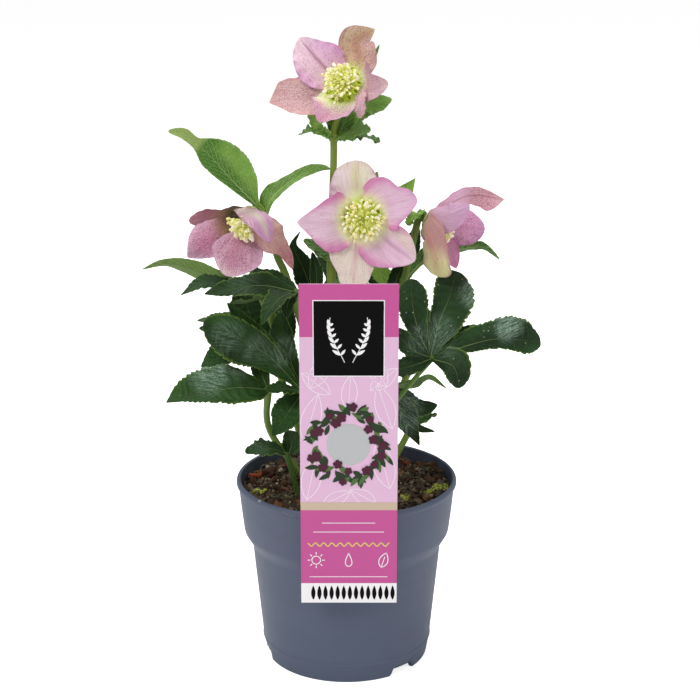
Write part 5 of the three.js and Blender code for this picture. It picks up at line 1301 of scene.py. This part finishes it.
# Outlined leaves behind, and a wreath of leaves and blossoms around a plain disc.
def makeLabelWreath():
    pale, grey, wreath, light, blossoms = (newPiece() for _ in range(5))
    for x, z, length, width, degrees in printed["lines"]:
        outline = leafOutline(x, z, length, width, degrees)
        outline[:, 0] = np.clip(outline[:, 0], card["left"] + 0.3, card["right"] - 0.3)
        addBand(pale, outline, 0.4, inkLayer(1), closed=True)
        addBand(pale, np.linspace((x, z), outline[11], 6), 0.35, inkLayer(1) - 0.01)
    finishPrint(pale, "labelLines", "pale")
    look, middle = printed["wreath"], printed["middle"]
    addPlate(grey, circlePoints(middle, look["z"], look["disc"]), inkLayer(2))
    finishPrint(grey, "labelGrey", "grey")
    rng = np.random.default_rng(look["seed"])
    for k in range(look["leaves"]):
        a = 2 * np.pi * k / look["leaves"] + rng.normal(0, 0.05)
        r = look["radius"] - 1.2 + rng.normal(0, 1.5)
        x, z = middle + r * math.cos(a), look["z"] + r * math.sin(a)
        lean = 90 - math.degrees(a) + rng.choice([-1, 1]) * rng.uniform(25, 95)
        outline = leafOutline(x, z, rng.uniform(5, 7.5), rng.uniform(2.2, 3.2), lean)
        outline[:, 0] = np.clip(outline[:, 0], card["left"] + 0.2, card["right"] - 0.2)
        addPlate(light if k % 4 == 0 else wreath, outline, inkLayer(3) - behind * k)
    finishPrint(wreath, "labelWreath", "green")
    finishPrint(light, "labelWreathLight", "leaf")
    for k in range(look["blossoms"]):
        a = 2 * np.pi * k / look["blossoms"] + rng.normal(0, 0.12)
        r = look["radius"] + rng.normal(0, 2.2)
        x, z = middle + r * math.cos(a), look["z"] + r * math.sin(a)
        addPlate(blossoms, blossomOutline(x, z, rng.uniform(2.0, 2.9), 5, a), inkLayer(8) - behind * k)
    finishPrint(blossoms, "labelBlossoms", "wine")


inkTints = dict(Pink="#e6bddb", Magenta="#c9579a", Black="#060506", White="#f8f5f7", Pale="#f5e6f1",
                Grey="#bfc0c1",
                Green="#23391f", Wine="#4d1730", Leaf="#4f7038", Sand="#cfb9a3", Yellow="#e6d46a")
inkFinish = dict(Black=dict(rough=0.6, specular=0.1))
inks = {name.lower(): printMaterial("ink" + name, tint, **inkFinish.get(name, {}))
        for name, tint in inkTints.items()}
makeCard()
makeLabelBlocks()
makeLabelDrawing()
makeLabelWreath()


# Colours of the face, of the back and of the edge, the wax bloom with painted sheen that faces turned
# upwards take, the leaves that differ by name, and in own their leaflets that differ by number; slim is the
# share of a stalk's usual radius.
leafTone = dict(face="#2a501c", deep="#132c0b", back="#5f7848", edge="#7c9c3e", stalk="#6f8a3a",
                stalkLow="#7b7748",
                bloom="#42663a", bloomShow=0.25, dust=0.05)
# Places (x, z, size, strength) where a leaf's face has a painted sheen, a grey highlight on its crinkled
# skin.
paintedSheenPlaces = {
    "left_low": [(-70, 171, 9.5, 1.0), (-55, 171, 6, 0.5)],
    "left_broad": [(-61, 189, 8, 0.4), (-46, 180, 8, 0.3), (-33, 176, 7, 0.5)],
    "left_upper": [(-52, 219, 7, 0.15)],
    "right_broad": [(85, 191, 8, 1.0), (65, 207, 6, 0.8), (47, 188, 9, 0.6), (38, 187, 7, 0.5)],
    "right_low": [(31, 146, 9, 0.7)],
    "base": [(-45, 129, 5, 0.3)],
}
paintedSheenSpread = 1.4
smoothEdge = dict(toothDepth=0.0, wave=0.3, frill=0.1, pleat=0.05)
ownTone = {
    "left_low": dict(face="#31581e", deep="#1a380e"),
    "left_broad": dict(face="#2d541e", deep="#17320d"),
    "left_upper": dict(face="#23431a", deep="#14290c", bloomShow=0.1, edge="#7d9c40"),
    "left_high": dict(face="#33502f", deep="#243f26", own={0: dict(back="#7d9a50", shape=smoothEdge)}),
    "right_broad": dict(face="#264520", deep="#10250d", stalk="#587c2e", dust=0.5, bloomShow=0.12,
                        slim=0.66),
    "right_low": dict(face="#1c3413", deep="#0f200a", bloomShow=0.1,
                      own={2: dict(shape=smoothEdge),
                           3: dict(face="#6a8740", deep="#4f6c3a", shape=smoothEdge)}),
    "centre_left": dict(face="#284820", deep="#12290e"),
    "base": dict(face="#35552a", deep="#1d3816", stalk="#46692a", stalkLow="#4c5a30", slim=0.8),
}
leafShape = dict(fold=11, pleat=0.4, pleatStep=4.8, wave=0.8, frill=0.45, toothStep=2.7, toothDepth=0.075,
                 keel=0.5, thick=0.5, wobble=0.02, across=15, rowsPerTooth=5, mostTeeth=26)


# Colours over a leaflet: deeper near the rib, painted shade in the grooves of the pleats and painted light on
# their ridges, wax bloom with painted sheen on faces turned upwards, a thin paler edge, a paler back.
def leafTints(tone, seed):
    face, deep, back, edge, bloom = (colour(tone[k]) for k in ("face", "deep", "back", "edge", "bloom"))

    def tintOf(s, u, x, distance, up):
        at = np.stack([s * 6, u * 2], -1)
        front = blend(face, deep, 0.5 + 0.5 * np.clip(ripples(at, 1.2, seed) - 0.3 * np.abs(u), -1, 1))
        # Painted shade in the grooves of the pleats and painted light on their ridges: the colour follows the
        # pleats' wave.
        between = np.cos(2 * np.pi * (distance - veinLean * np.abs(x)) / leafShape["pleatStep"])
        front = front * (1 + 0.15 * between * smooth(np.abs(x), 0.5, 3))[..., None]
        patches = 0.6 + 0.4 * np.clip(ripples(at, 2.0, seed + 5), -1, 1)
        # Painted sheen: faces that turn upwards are blended towards the wax bloom's grey-green.
        front = blend(front, bloom, tone["bloomShow"] * smooth(up, 0.25, 0.85) * patches)
        if "tip" in tone:
            front = blend(front, colour(tone["tip"]), 0.9 * smooth(s, 0.7, 0.75))
            front = blend(front, colour(tone["light"]),
                          0.8 * smooth(u, 0.1, 0.5) * (1 - smooth(s, 0.55, 0.7)))
        front = blend(front, edge, 0.85 * smooth(np.abs(u), 0.93, 0.985))
        under = blend(back, edge, 0.3 * smooth(np.abs(u), 0.9, 1.0))
        return front, under

    return tintOf


# A leaflet or bract with teeth a set step apart and the same rows over each tooth.
def addLeaflet(piece, spec, tone, seed):
    length = evenCurve(spec["rib"], 5)[2][-1]
    teeth = int(np.clip(round(length / leafShape["toothStep"]), 5, leafShape["mostTeeth"]))
    tone = {**tone, **tone.get("own", {}).get(seed % 10, {})}
    look = {**leafShape, "phase": seed * 1.3, "teeth": teeth, "seed": seed,
            "speckle": tone.get("dust", 0.03),
            **tone.get("shape", {})}

    # Strength of the painted sheen at each point, from the leaf's places of painted sheen.
    def sheenOf(grid):
        total = np.zeros(grid.shape[:2])
        for x, z, size, strength in tone.get("sheen", []):
            near = np.hypot(grid[..., 0] - x, grid[..., 2] - z) / size
            total = np.maximum(total, strength * (1 - smooth(near, 0.5, paintedSheenSpread)))
        return total

    look["sheenOf"] = sheenOf
    addBlade(piece, spec, look, teeth * leafShape["rowsPerTooth"] + 1, leafShape["across"],
             leafTints(tone, seed))


# An uneven ball, for a leaf's hub, a stem's joint or a flower's dome.
def addKnob(piece, centre, radius, tint):
    ball = roundBall(8, 14) * radius
    addSkin(piece, ball * (1 + 0.06 * ripples(ball, 1.5, 9))[..., None] + np.asarray(centre, float), tint)


# Colour along a stalk: paler and browner at its foot.
def stalkTint(share, tone):
    return blend(colour(tone["stalkLow"]), colour(tone["stalk"]), smooth(share, 0.0, 0.35))[:, None]


leafStalk = dict(rings=60, sides=14, lobes=0.05, radius=1.75, swell=0.5, hub=2.0, hubTint="#4a6a2a")


# A leaf: its stalk, a bit thicker at both ends, with a knob at the hub, and its leaflets.
def makeLeaf(name, leaf, number):
    tone = {**leafTone, **ownTone.get(name, {}), "sheen": paintedSheenPlaces.get(name, [])}
    look = leafStalk
    piece = newPiece()
    place, along, run = stalkPath(leaf["foot"], [*leaf["via"], leaf["hub"]], look["rings"])
    share = run / run[-1]
    radius = look["radius"] + look["swell"] * smooth(share, 0.85, 1) \
        + look["swell"] * (1 - smooth(share, 0, 0.2))
    radius = radius * tone.get("slim", 1.0)
    addStalk(piece, place, along, radius, look["sides"], stalkTint(share, tone), look["lobes"])
    addKnob(piece, leaf["hub"], look["hub"], colour(look["hubTint"]))
    finishPiece(piece, "stalk_" + name, stalkGreen)
    blades = newPiece()
    for i, spec in enumerate(leaf["blades"]):
        rib = np.array([spec.get("start", (0, 0, 0)), *spec["rib"]]) + leaf["hub"]
        addLeaflet(blades, {**leaf, **spec, "rib": rib}, tone, 10 * number + i)
    finishNode(blades, "leaf_" + name, leafGreen)


for number, (name, leaf) in enumerate(leaves.items()):
    makeLeaf(name, leaf, number)


# Colours of each sepal, in the order of its flower: core next to the centre, then pale, body, edge and tip;
# the stripe along the rib, the margin of the lobes near the centre, the right or left half where it differs,
# the share of cells with a speckle, the back and what differs on it near its tip; coreReach is in mm.
plainSepal = dict(core="#d6ea58", pale="#eff1c6", tipFrom=0.72, speckleFrom=0.1, body="#dab3c6",
                  edge="#cf94b6", tip="#cf94b6", stripe="#b06f86", stripeShow=0.3, stripeWidth=0.07,
                  lobe="#cf77ab", lobeShow=0.0, halfShow=0.0, speckle=0.25, back="#cfaab4",
                  backTip="#cfaab4", backTipShow=0.0, backBase=0.25, coreReach=9.5, gain=1.0)
# Sepals of the two side flowers, and what all sepals of a flower share.
leftSepal = dict(core="#6f7a2a", pale="#b18f86", coreReach=7.0)
flowerSepal = dict(top=dict(gain=1.03), middle=dict(gain=1.17, coreReach=10.5),
                   left={**leftSepal, "gain": 1.06}, right={**leftSepal, "gain": 1.1})
sepalLooks = {
    "top": [
        dict(body="#e0bccd", edge="#d8abcf", tip="#e8d0d8", stripe="#93546f", stripeShow=0.8,
             stripeWidth=0.05, speckle=0.5, right="#d9a3cd", left="#e2c0cc", halfShow=0.5, coreReach=7,
             lobe="#d68fc4", lobeShow=0.5),
        dict(body="#d3adab", edge="#d2a39a", tip="#c9a096", speckle=0.95, stripe="#a45f74"),
        dict(body="#cb98aa", edge="#d6aec6", tip="#b97a97", speckle=1.0, speckleFrom=0.35, coreReach=13,
             gain=0.93),
        dict(body="#d0aab2", edge="#c896aa", tip="#d8b6b4", speckle=0.6, gain=0.82),
        dict(body="#ccb28e", edge="#c9aa8b", tip="#cdb48a", speckle=0.9, stripe="#a8623f", stripeShow=0.5,
             stripeWidth=0.3, right="#d2aaa6", halfShow=0.7, pale="#c9c77e"),
        dict(body="#d2a8b0", edge="#cda2a6", tip="#cfa394", speckle=0.4, coreReach=1, pale="#d2a8b0",
             gain=0.9),
    ],
    "middle": [
        dict(body="#ddd8c2", edge="#d8c4cc", tip="#d6c6b4", stripe="#c2b886", stripeShow=0.7,
             stripeWidth=0.22, speckle=0.05, left="#dcc3cf", halfShow=0.6),
        dict(body="#dfbad0", edge="#d294be", tip="#d8a5cc", speckle=0.04, stripeShow=0.15, lobeShow=0.95),
        dict(body="#e3bdd4", edge="#d68cbc", tip="#e6cbd8", speckle=0.03, stripe="#8f5a78", stripeShow=0.4,
             stripeWidth=0.04, left="#e0cdc3", halfShow=0.85, lobeShow=0.85, core="#b3a45c"),
        dict(body="#efe4d4", edge="#e9d6ca", tip="#e3e0bf", stripe="#d09aa0", stripeShow=0.45,
             stripeWidth=0.12, speckle=0.05, coreReach=8),
        dict(body="#dbbccc", edge="#cf90b6", tip="#dcc0cf", speckle=0.06, stripeShow=0.2, lobeShow=0.9,
             core="#b3a45c"),
    ],
    "left": [
        # f and g: a dark core that reaches far from the centre, painted shade in the hollow of the nodding
        # flower.
        dict(body="#9c6670", edge="#8c465c", tip="#b87c88", speckle=0.8, back="#b98292", pale="#8a6c50",
             core="#3c4818", coreReach=16),
        dict(body="#c28ca4", edge="#d3acc4", tip="#d6b4c8", speckle=1.0, back="#c3a0a6", stripe="#9a5070",
             stripeShow=0.6, stripeWidth=0.35, gain=1.46, coreReach=16, core="#2f3a12", pale="#8a6c46"),
        dict(body="#cc9cb2", edge="#dcb6cc", tip="#e6ccd2", speckle=1.0, back="#caaab0", stripe="#b0607a",
             stripeShow=0.4, stripeWidth=0.4, pale="#c58a92", gain=1.22),
        dict(body="#c090a0", edge="#a8637b", tip="#b0566a", speckle=1.0, back="#cba396", backTip="#bc7078",
             backTipShow=0.7),
        dict(body="#c090a0", edge="#a5658a", tip="#a9649a", speckle=0.1, back="#bb99a6", stripe="#bdbb98",
             stripeShow=0.8, stripeWidth=0.3, backTip="#a5699c", backTipShow=0.7, backBase=0.5),
    ],
    "right": [
        dict(body="#e0b6d2", edge="#d6a8c4", tip="#cc9ca2", tipFrom=0.42, speckleFrom=0.42, speckle=1.0,
             back="#dba8bb", core="#dcb6c4", pale="#e0b4c8", backBase=0.1, stripe="#9c4c50",
             stripeShow=0.6, gain=1.25),
        dict(body="#b878a0", edge="#b678a2", tip="#b878a6", speckle=0.02, back="#bf9ab0", backBase=0.3,
             backTip="#b084a6", backTipShow=0.7, stripe="#9a7088", stripeShow=0.5),
        dict(body="#dba2cc", edge="#c88cba", tip="#cc94c0", speckle=0.8, back="#cba5b2", core="#8f4272",
             pale="#b06a96", coreReach=12, gain=1.25),
        dict(body="#b98f86", edge="#b4737f", tip="#d2a6b2", speckle=0.45, back="#bd9188", stripe="#b8625c",
             stripeShow=0.45, stripeWidth=0.3, backTip="#ebe7a6", backTipShow=0.95, backBase=0.5,
             backLeft="#b3b87c"),
        dict(body="#c384a6", edge="#b0628f", tip="#c06c9a", speckle=0.45, back="#c09aa6", gain=1.25),
    ],
}


# Colours over a sepal: core near the centre, a pale zone, the body, its edge and tip, and the rib's stripe.
def sepalTints(look, seed):
    tone = {key: colour(value) for key, value in look.items() if isinstance(value, str)}

    def tintOf(s, u, x, distance, up):
        at = np.stack([s * 5, u * 2], -1)
        drift = 0.06 * ripples(at, 1.0, seed)
        fromCentre = np.hypot(x, distance + 3.0) / look["coreReach"] + drift
        off = np.abs(u) + drift
        face = blend(tone["body"], tone["edge"], smooth(off, 0.6, 1.0) * 0.8)
        for key, way in (("right", 1), ("left", -1)):
            if key in tone:
                face = blend(face, tone[key], look["halfShow"] * smooth(way * u + drift, 0.05, 0.45))
        face = blend(face, tone["tip"], smooth(s + drift, look["tipFrom"], look["tipFrom"] + 0.28) * 0.8)
        lobe = smooth(off, 0.5, 1.0) * smooth(s, 0.08, 0.25) * (1 - smooth(s, 0.42, 0.75))
        face = blend(face, tone["lobe"], look["lobeShow"] * lobe)
        stripe = np.exp(-(u / look["stripeWidth"]) ** 2) * smooth(s, 0.12, 0.3) \
            * (1 - 0.7 * smooth(s, 0.75, 1))
        face = blend(face, tone["stripe"], np.clip(stripe * look["stripeShow"], 0, 1))
        face = blend(face, tone["lobe"] * 0.8, 0.45 * smooth(off, 0.93, 1.0))
        face = blend(tone["pale"], face, smooth(fromCentre, 1.0, 1.7))
        face = blend(tone["core"], face, smooth(fromCentre, 0.7, 1.25))
        nearTip = smooth(s + drift, 0.45, 0.75) * (1 - smooth(off, 0.7, 1.0))
        back = blend(tone["back"], tone["backTip"], look["backTipShow"] * nearTip)
        back = blend(back, tone["edge"], smooth(off, 0.75, 1.0) * 0.5)
        if look["stripeWidth"] > 0.2:
            back = blend(back, tone["stripe"], np.clip(stripe * look["stripeShow"] * 0.8, 0, 1))
        if "backLeft" in tone:
            back = blend(back, tone["backLeft"],
                         0.9 * smooth(-u + drift, 0.35, 0.75) * (1 - smooth(s, 0.6, 0.8)))
        back = blend(back, colour("#a3ad68"), look["backBase"] * (1 - smooth(s, 0.0, 0.35)))
        return face * look["gain"], back * look["gain"]

    return tintOf


# A function that gives a place from a radius and a turn about the flower's axis and a height on it.
def flowerPlace(flower):
    centre, axis = np.array(flower["centre"], float), unit(np.array(flower["axis"], float))
    e = unit(np.cross(axis, np.array([0.1, 0.2, 1.0])))
    g = np.cross(axis, e)

    def place(radius, turn, height):
        return centre + axis * height + (e * math.cos(turn) + g * math.sin(turn)) * radius

    return place


# Strength of the speckles along a sepal: none at the core, all in the middle, fewer at the tip and the edges.
def speckleShare(strength, start):
    def shareOf(s, u):
        along = strength * smooth(s, start, start + 0.2) * (1 - 0.4 * smooth(s, 0.8, 1))
        return along * (1 - 0.5 * smooth(np.abs(u), 0.6, 0.95))

    return shareOf


# Sepals that follow the flower's cup ripple more than those that have a face of their own.
sepalShape = dict(wave=0.8, frill=0.5, thick=0.5, keel=0.25, wobble=0.045)
ownFaceShape = dict(wave=0.5, frill=0.3)
sepalGrid = dict(along=56, wide=25)
sepalDisc = dict(low=-1.2, high=0.5, radii=(2.6, 4.3, 4.9, 5.0, 4.4), sides=20, tint="#b9bb84")


# The disc, and the sepals, which look towards a point on the flower's axis or have a face of their own.
def makeSepals(name, flower):
    place, disc = flowerPlace(flower), sepalDisc
    piece = newPiece()
    path, along, _ = evenCurve([place(0, 0, disc["low"]), place(0, 0, disc["high"])], len(disc["radii"]))
    addStalk(piece, path, along, np.array(disc["radii"]), disc["sides"], colour(disc["tint"]))
    for i, spec in enumerate(flower["sepals"]):
        look = {**plainSepal, **flowerSepal[name], **sepalLooks[name][i]}
        facing = ownFaceShape if "face" in spec else dict(focus=place(0, 0, flower["reach"]))
        rib = np.array(spec["rib"]) + flower["centre"]
        shape = {**sepalShape, **facing, "cup": flower["cup"], "phase": i * 1.7, "seed": 40 + i,
                 "speckleOf": speckleShare(look["speckle"], look["speckleFrom"])}
        addBlade(piece, {**spec, "rib": rib}, shape, **sepalGrid, tintOf=sepalTints(look, 60 + i))
    finishNode(piece, "sepals_" + name, sepalPink)


nectaryLook = dict(count=12, sides=12, hoopSteps=48, half=0.95, height=0.9, rise=2.2, twist=0.1,
                   wide=(0.75, 0.85, 0.95, 1.05, 1.15, 1.2, 1.3), mouth=(1.15, 0.95, 0.75),
                   outer="#c3d638", rim="#e6ee6a", deep="#98a52c", hoop="#bccd3c")


# Ring of small cups on a low hoop: each is a tube that widens to its mouth and is hollow there, with painted
# shade inside.
def makeNectaries(name, flower):
    place, look = flowerPlace(flower), nectaryLook
    size, ring, ringZ = flower["heart"], flower["ring"], flower["ringZ"]
    piece = newPiece()
    half, high = look["half"] * size, look["height"]
    outline = [(ring - half, ringZ), (ring + half, ringZ), (ring + half * 0.8, ringZ + high * 0.6),
               (ring, ringZ + high),
               (ring - half * 0.8, ringZ + high * 0.6)]
    hoop = np.stack([np.array([place(r, t, h) for r, h in outline]) for t in fullTurn(look["hoopSteps"])])
    addSkin(piece, hoop, colour(look["hoop"]), looped=True)
    rim, deep, outer = colour(look["rim"]), colour(look["deep"]), colour(look["outer"])
    angle = fullTurn(look["sides"])[:, None]
    share = np.array([0, 0.1, 0.2, 0.4, 0.6, 0.8, 1.0])
    # Inside each mouth the colour turns to the deep green: painted shade in the hollow.
    tints = np.concatenate([blend(outer, rim, share), blend(deep, rim, np.array([0.45, 0.1, 0.0]))])
    tipZ, out = ringZ + high + look["rise"], flower["flare"] * size
    for i in range(look["count"]):
        t = 2 * np.pi * i / look["count"]
        spots = [place(ring, t, ringZ + high * 0.4),
                 place(ring + out * 0.75, t + look["twist"] / 2, ringZ + 1.9),
                 place(ring + out, t + look["twist"], tipZ)]
        path, along, _ = evenCurve(spots, len(look["wide"]))
        e, g = across(along)
        levels = [(k, w, 0.0) for k, w in enumerate(look["wide"])]
        levels += [(6 - k, w, 0.05) for k, w in enumerate(look["mouth"])]
        rings = []
        for k, w, back in levels:
            wayOut = e[k] * np.cos(angle) * 1.15 + g[k] * np.sin(angle) * 0.8
            rings.append(path[k] - along[k] * back + w * size * wayOut)
        addSkin(piece, np.stack(rings), tints[:, None])
    finishNode(piece, "nectaries_" + name, nectaryGreen)


stamenLook = dict(count=124, fewer=76, domeZ=4.0, inside=3.0, length=11.4, shorten=4.2, spread=66,
                  thread=0.34, anther=1.25, antherWide=0.6, threadTint="#e8ec86", domeTint="#dfe66e",
                  tints=("#fdf7cc", "#f8f0b4", "#fffbe0", "#f6ecae"),
                  innerTints=("#eceb8c", "#dde070", "#f1efa2", "#e4e67e"), goldenTurn=2.39996)
styleLook = dict(count=4, path=((0.6, 0, 4.5), (1.0, 0.3, 9.5), (1.7, 0.5, 12.4)), thick=(0.42, 0.28),
                 tint="#c2ca6e")


# A long two-lobed ball about a tip: its width swings with cos(2 lon), and way is its long axis.
def addAnther(piece, tip, way, size, tint):
    e, g = across(way[None])
    lat = np.linspace(0, np.pi, 8)[1:-1, None]
    lon = fullTurn(8)[None, :]
    wide = stamenLook["antherWide"] * size * (1 + 0.3 * np.cos(2 * lon)) * np.sin(lat) ** 0.7
    ball = tip + (np.cos(lat) + 0 * lon)[..., None] * way * stamenLook["anther"] * size \
        + (np.cos(lon) * wide)[..., None] * e[0] + (np.sin(lon) * wide * 0.8)[..., None] * g[0]
    addSkin(piece, ball, tint)


# Bunch of stamens: thin threads that rise from a dome in a spiral, each with its anther, round the styles.
def makeStamens(name, flower):
    place, look = flowerPlace(flower), stamenLook
    rng = np.random.default_rng(len(name) * 13)
    piece = newPiece()
    inside, low = look["inside"] * flower["heart"], look["domeZ"]
    addKnob(piece, place(0, 0, low), inside, colour(look["domeTint"]))
    outerTints, innerTints = ([colour(c) for c in look[key]] for key in ("tints", "innerTints"))
    count = look["count"] if flower["spread"] > 0.7 else look["fewer"]
    for i in range(count):
        share = (i + 0.5) / count
        lean = math.radians(look["spread"] * flower["spread"]) * math.sqrt(share) + rng.normal(0, 0.05)
        turn = i * look["goldenTurn"] + rng.normal(0, 0.1)
        far = look["length"] - look["shorten"] * (1 - share) * rng.uniform(0.3, 1.3) + rng.normal(0, 0.4)
        bow = rng.normal(0, 0.08)
        spots = [place(d * math.sin(lean + bow * k), turn + 0.15 * bow * k,
                       low + d * math.cos(lean + bow * k))
                 for k, d in enumerate((inside * 0.8, far * 0.55, far))]
        path, along, _ = evenCurve(spots, 6)
        addStalk(piece, path, along, np.full(6, look["thread"]), 5, colour(look["threadTint"]))
        way = unit(along[-1] + rng.normal(0, 0.35, 3))
        small = 0.8 if share < 0.3 else 1.0
        tints = innerTints if share < 0.33 else outerTints
        addAnther(piece, spots[2], way, rng.uniform(0.85, 1.2) * small, tints[rng.integers(4)])
    for k in range(styleLook["count"]):
        turn = k * math.pi / 2
        path, along, _ = evenCurve([place(r, turn + twist, z) for r, twist, z in styleLook["path"]], 8)
        addStalk(piece, path, along, np.linspace(*styleLook["thick"], 8), 6, colour(styleLook["tint"]))
    finishNode(piece, "stamens_" + name, stamenCream)


stemLook = dict(rings=150, sides=16, lobes=0.04, tops=(-5, -1.2), topRadii=(1.8, 1.9), flare=0.7, joint=2.9)
stemTone = {
    "top": dict(stalk="#83993a", stalkLow="#7b7748"),
    "middle": dict(stalk="#7f963c", stalkLow="#7b7748"),
    "left": dict(stalk="#6f8a34", stalkLow="#7b7748"),
    "right": dict(stalk="#6a8432", stalkLow="#7b7748"),
}
bractTone = dict(face="#43682c", deep="#345622", back="#6d9046", edge="#6f9838", bloom="#7fa458",
                 bloomShow=0.15, shape=dict(pleat=0.1, frill=1.2, wave=1.6))
bractTones = {
    # The second top bract is much lighter: painted light, as if lit, where it lies in the flower's shade.
    "top": [dict(face="#4f7a34", deep="#3f6429"), dict(face="#9ccc5c", deep="#86b54a"),
            dict(face="#568a2c", deep="#447022"), dict(face="#639434", deep="#4f7c28"),
            dict(face="#56803a"), *[dict(face="#7cb046", deep="#68983a")] * 2],
    "middle": [dict(face="#4f8030", deep="#3f6a26"), dict(face="#86b83c", deep="#6f9e30"),
               dict(face="#7fb440", deep="#6a9a34"), dict(face="#86aa4c", deep="#6f9040"),
               dict(face="#3a5f22")],
    "left": [dict(face="#457a14", deep="#33600c", back="#6f9046", edge="#8fb064", tip="#90a456",
                  light="#7ca840", shape=dict(toothDepth=0.03, pleat=0.1, wave=1.0)),
             dict(face="#6c953a", deep="#547a2c", shape=dict(toothDepth=0.0, pleat=0.1))],
    "right": [dict(face="#4a7430", deep="#386024"), dict(face="#7aa83c", deep="#65902f")],
}


# A flower's stem, up to just behind its disc, with a knob where its bracts stand, and the bracts.
def makeStem(name, flower):
    place, look, tone = flowerPlace(flower), stemLook, stemTone[name]
    piece = newPiece()
    ends = [place(0, 0, height) for height in look["tops"]]
    path, along, run = stalkPath(flower["foot"], [*flower["stem"], *ends], look["rings"])
    share = run / run[-1]
    radii = [*flower["radii"], *look["topRadii"]]
    radius = np.interp(share, np.linspace(0, 1, len(radii)), radii)
    radius = radius + look["flare"] * smooth(share, 0.985, 1)
    addStalk(piece, path, along, radius, look["sides"], stalkTint(share, tone), look["lobes"])
    if "joint" in flower:
        addKnob(piece, flower["joint"], look["joint"], colour(tone["stalk"]))
    finishNode(piece, "stem_" + name, stalkGreen)
    bracts = newPiece()
    for i, spec in enumerate(flower["bracts"]):
        addLeaflet(bracts, spec, {**bractTone, **bractTones[name][i]}, 200 + 10 * len(name) + i)
    finishPiece(bracts, "bracts_" + name, bractGreen)


for name, flower in flowers.items():
    makeStem(name, flower)
    makeSepals(name, flower)
    makeNectaries(name, flower)
    makeStamens(name, flower)


# The studio, in metres. floorGreys are two greys of the paint, then the emission unseen and seen by the
# camera.
studio = dict(
    world=0.24, aim=(0, 0, 0.2), floorHalf=20, floorGreys=(0.9, 0.93, 0.1, 0.76),
    lights=dict(key=((-0.9, -1.1, 1.5), 0.9, 15.5), fill=((1.2, -0.9, 0.9), 1.2, 6),
                top=((-0.2, 0.25, 1.5), 1.0, 14),
                back=((0.4, 1.2, 1.3), 1.0, 5)))


# Pale floor that looks white to the camera and gives little light of its own.
def makeFloor():
    mesh = bpy.data.meshes.new("floor")
    half = studio["floorHalf"]
    corners = [(-half, -half, 0), (half, -half, 0), (half, half, 0), (-half, half, 0)]
    mesh.from_pydata(corners, [], [(0, 1, 2, 3)])
    floor = bpy.data.objects.new("floor", mesh)
    n = newMaterial("floorPaint", Roughness=0.8, Emission_Strength=1.0)
    dull, bright, unseen, seen = ((v, v, v, 1.0) for v in studio["floorGreys"])
    n.feed("Base Color", n.mixed(n.noise(n.place(), 6.0, 3), dull, bright))
    n.feed("Emission Color", n.mixed(n.add("LightPath", {})["Is Camera Ray"], unseen, seen))
    mesh.materials.append(n.material)
    scene.collection.objects.link(floor)


# Soft lights, each (place, size, power), turned towards the plant, and a dim even surrounding.
def makeLights():
    world = bpy.data.worlds.new("studio")
    scene.world = world
    world.use_nodes = True
    background = world.node_tree.nodes["Background"]
    background.inputs["Color"].default_value = (1, 1, 1, 1)
    background.inputs["Strength"].default_value = studio["world"]
    for name, (place, size, power) in studio["lights"].items():
        data = bpy.data.lights.new(name, "AREA")
        data.shape = "DISK"
        data.size = size
        data.energy = power
        light = bpy.data.objects.new(name, data)
        light.location = place
        way = np.array(studio["aim"]) - np.array(place)
        light.rotation_euler = (math.acos(-way[2] / np.linalg.norm(way)), 0,
                                math.atan2(way[1], way[0]) - math.pi / 2)
        scene.collection.objects.link(light)


makeFloor()
makeLights()
print("floor and lights made")
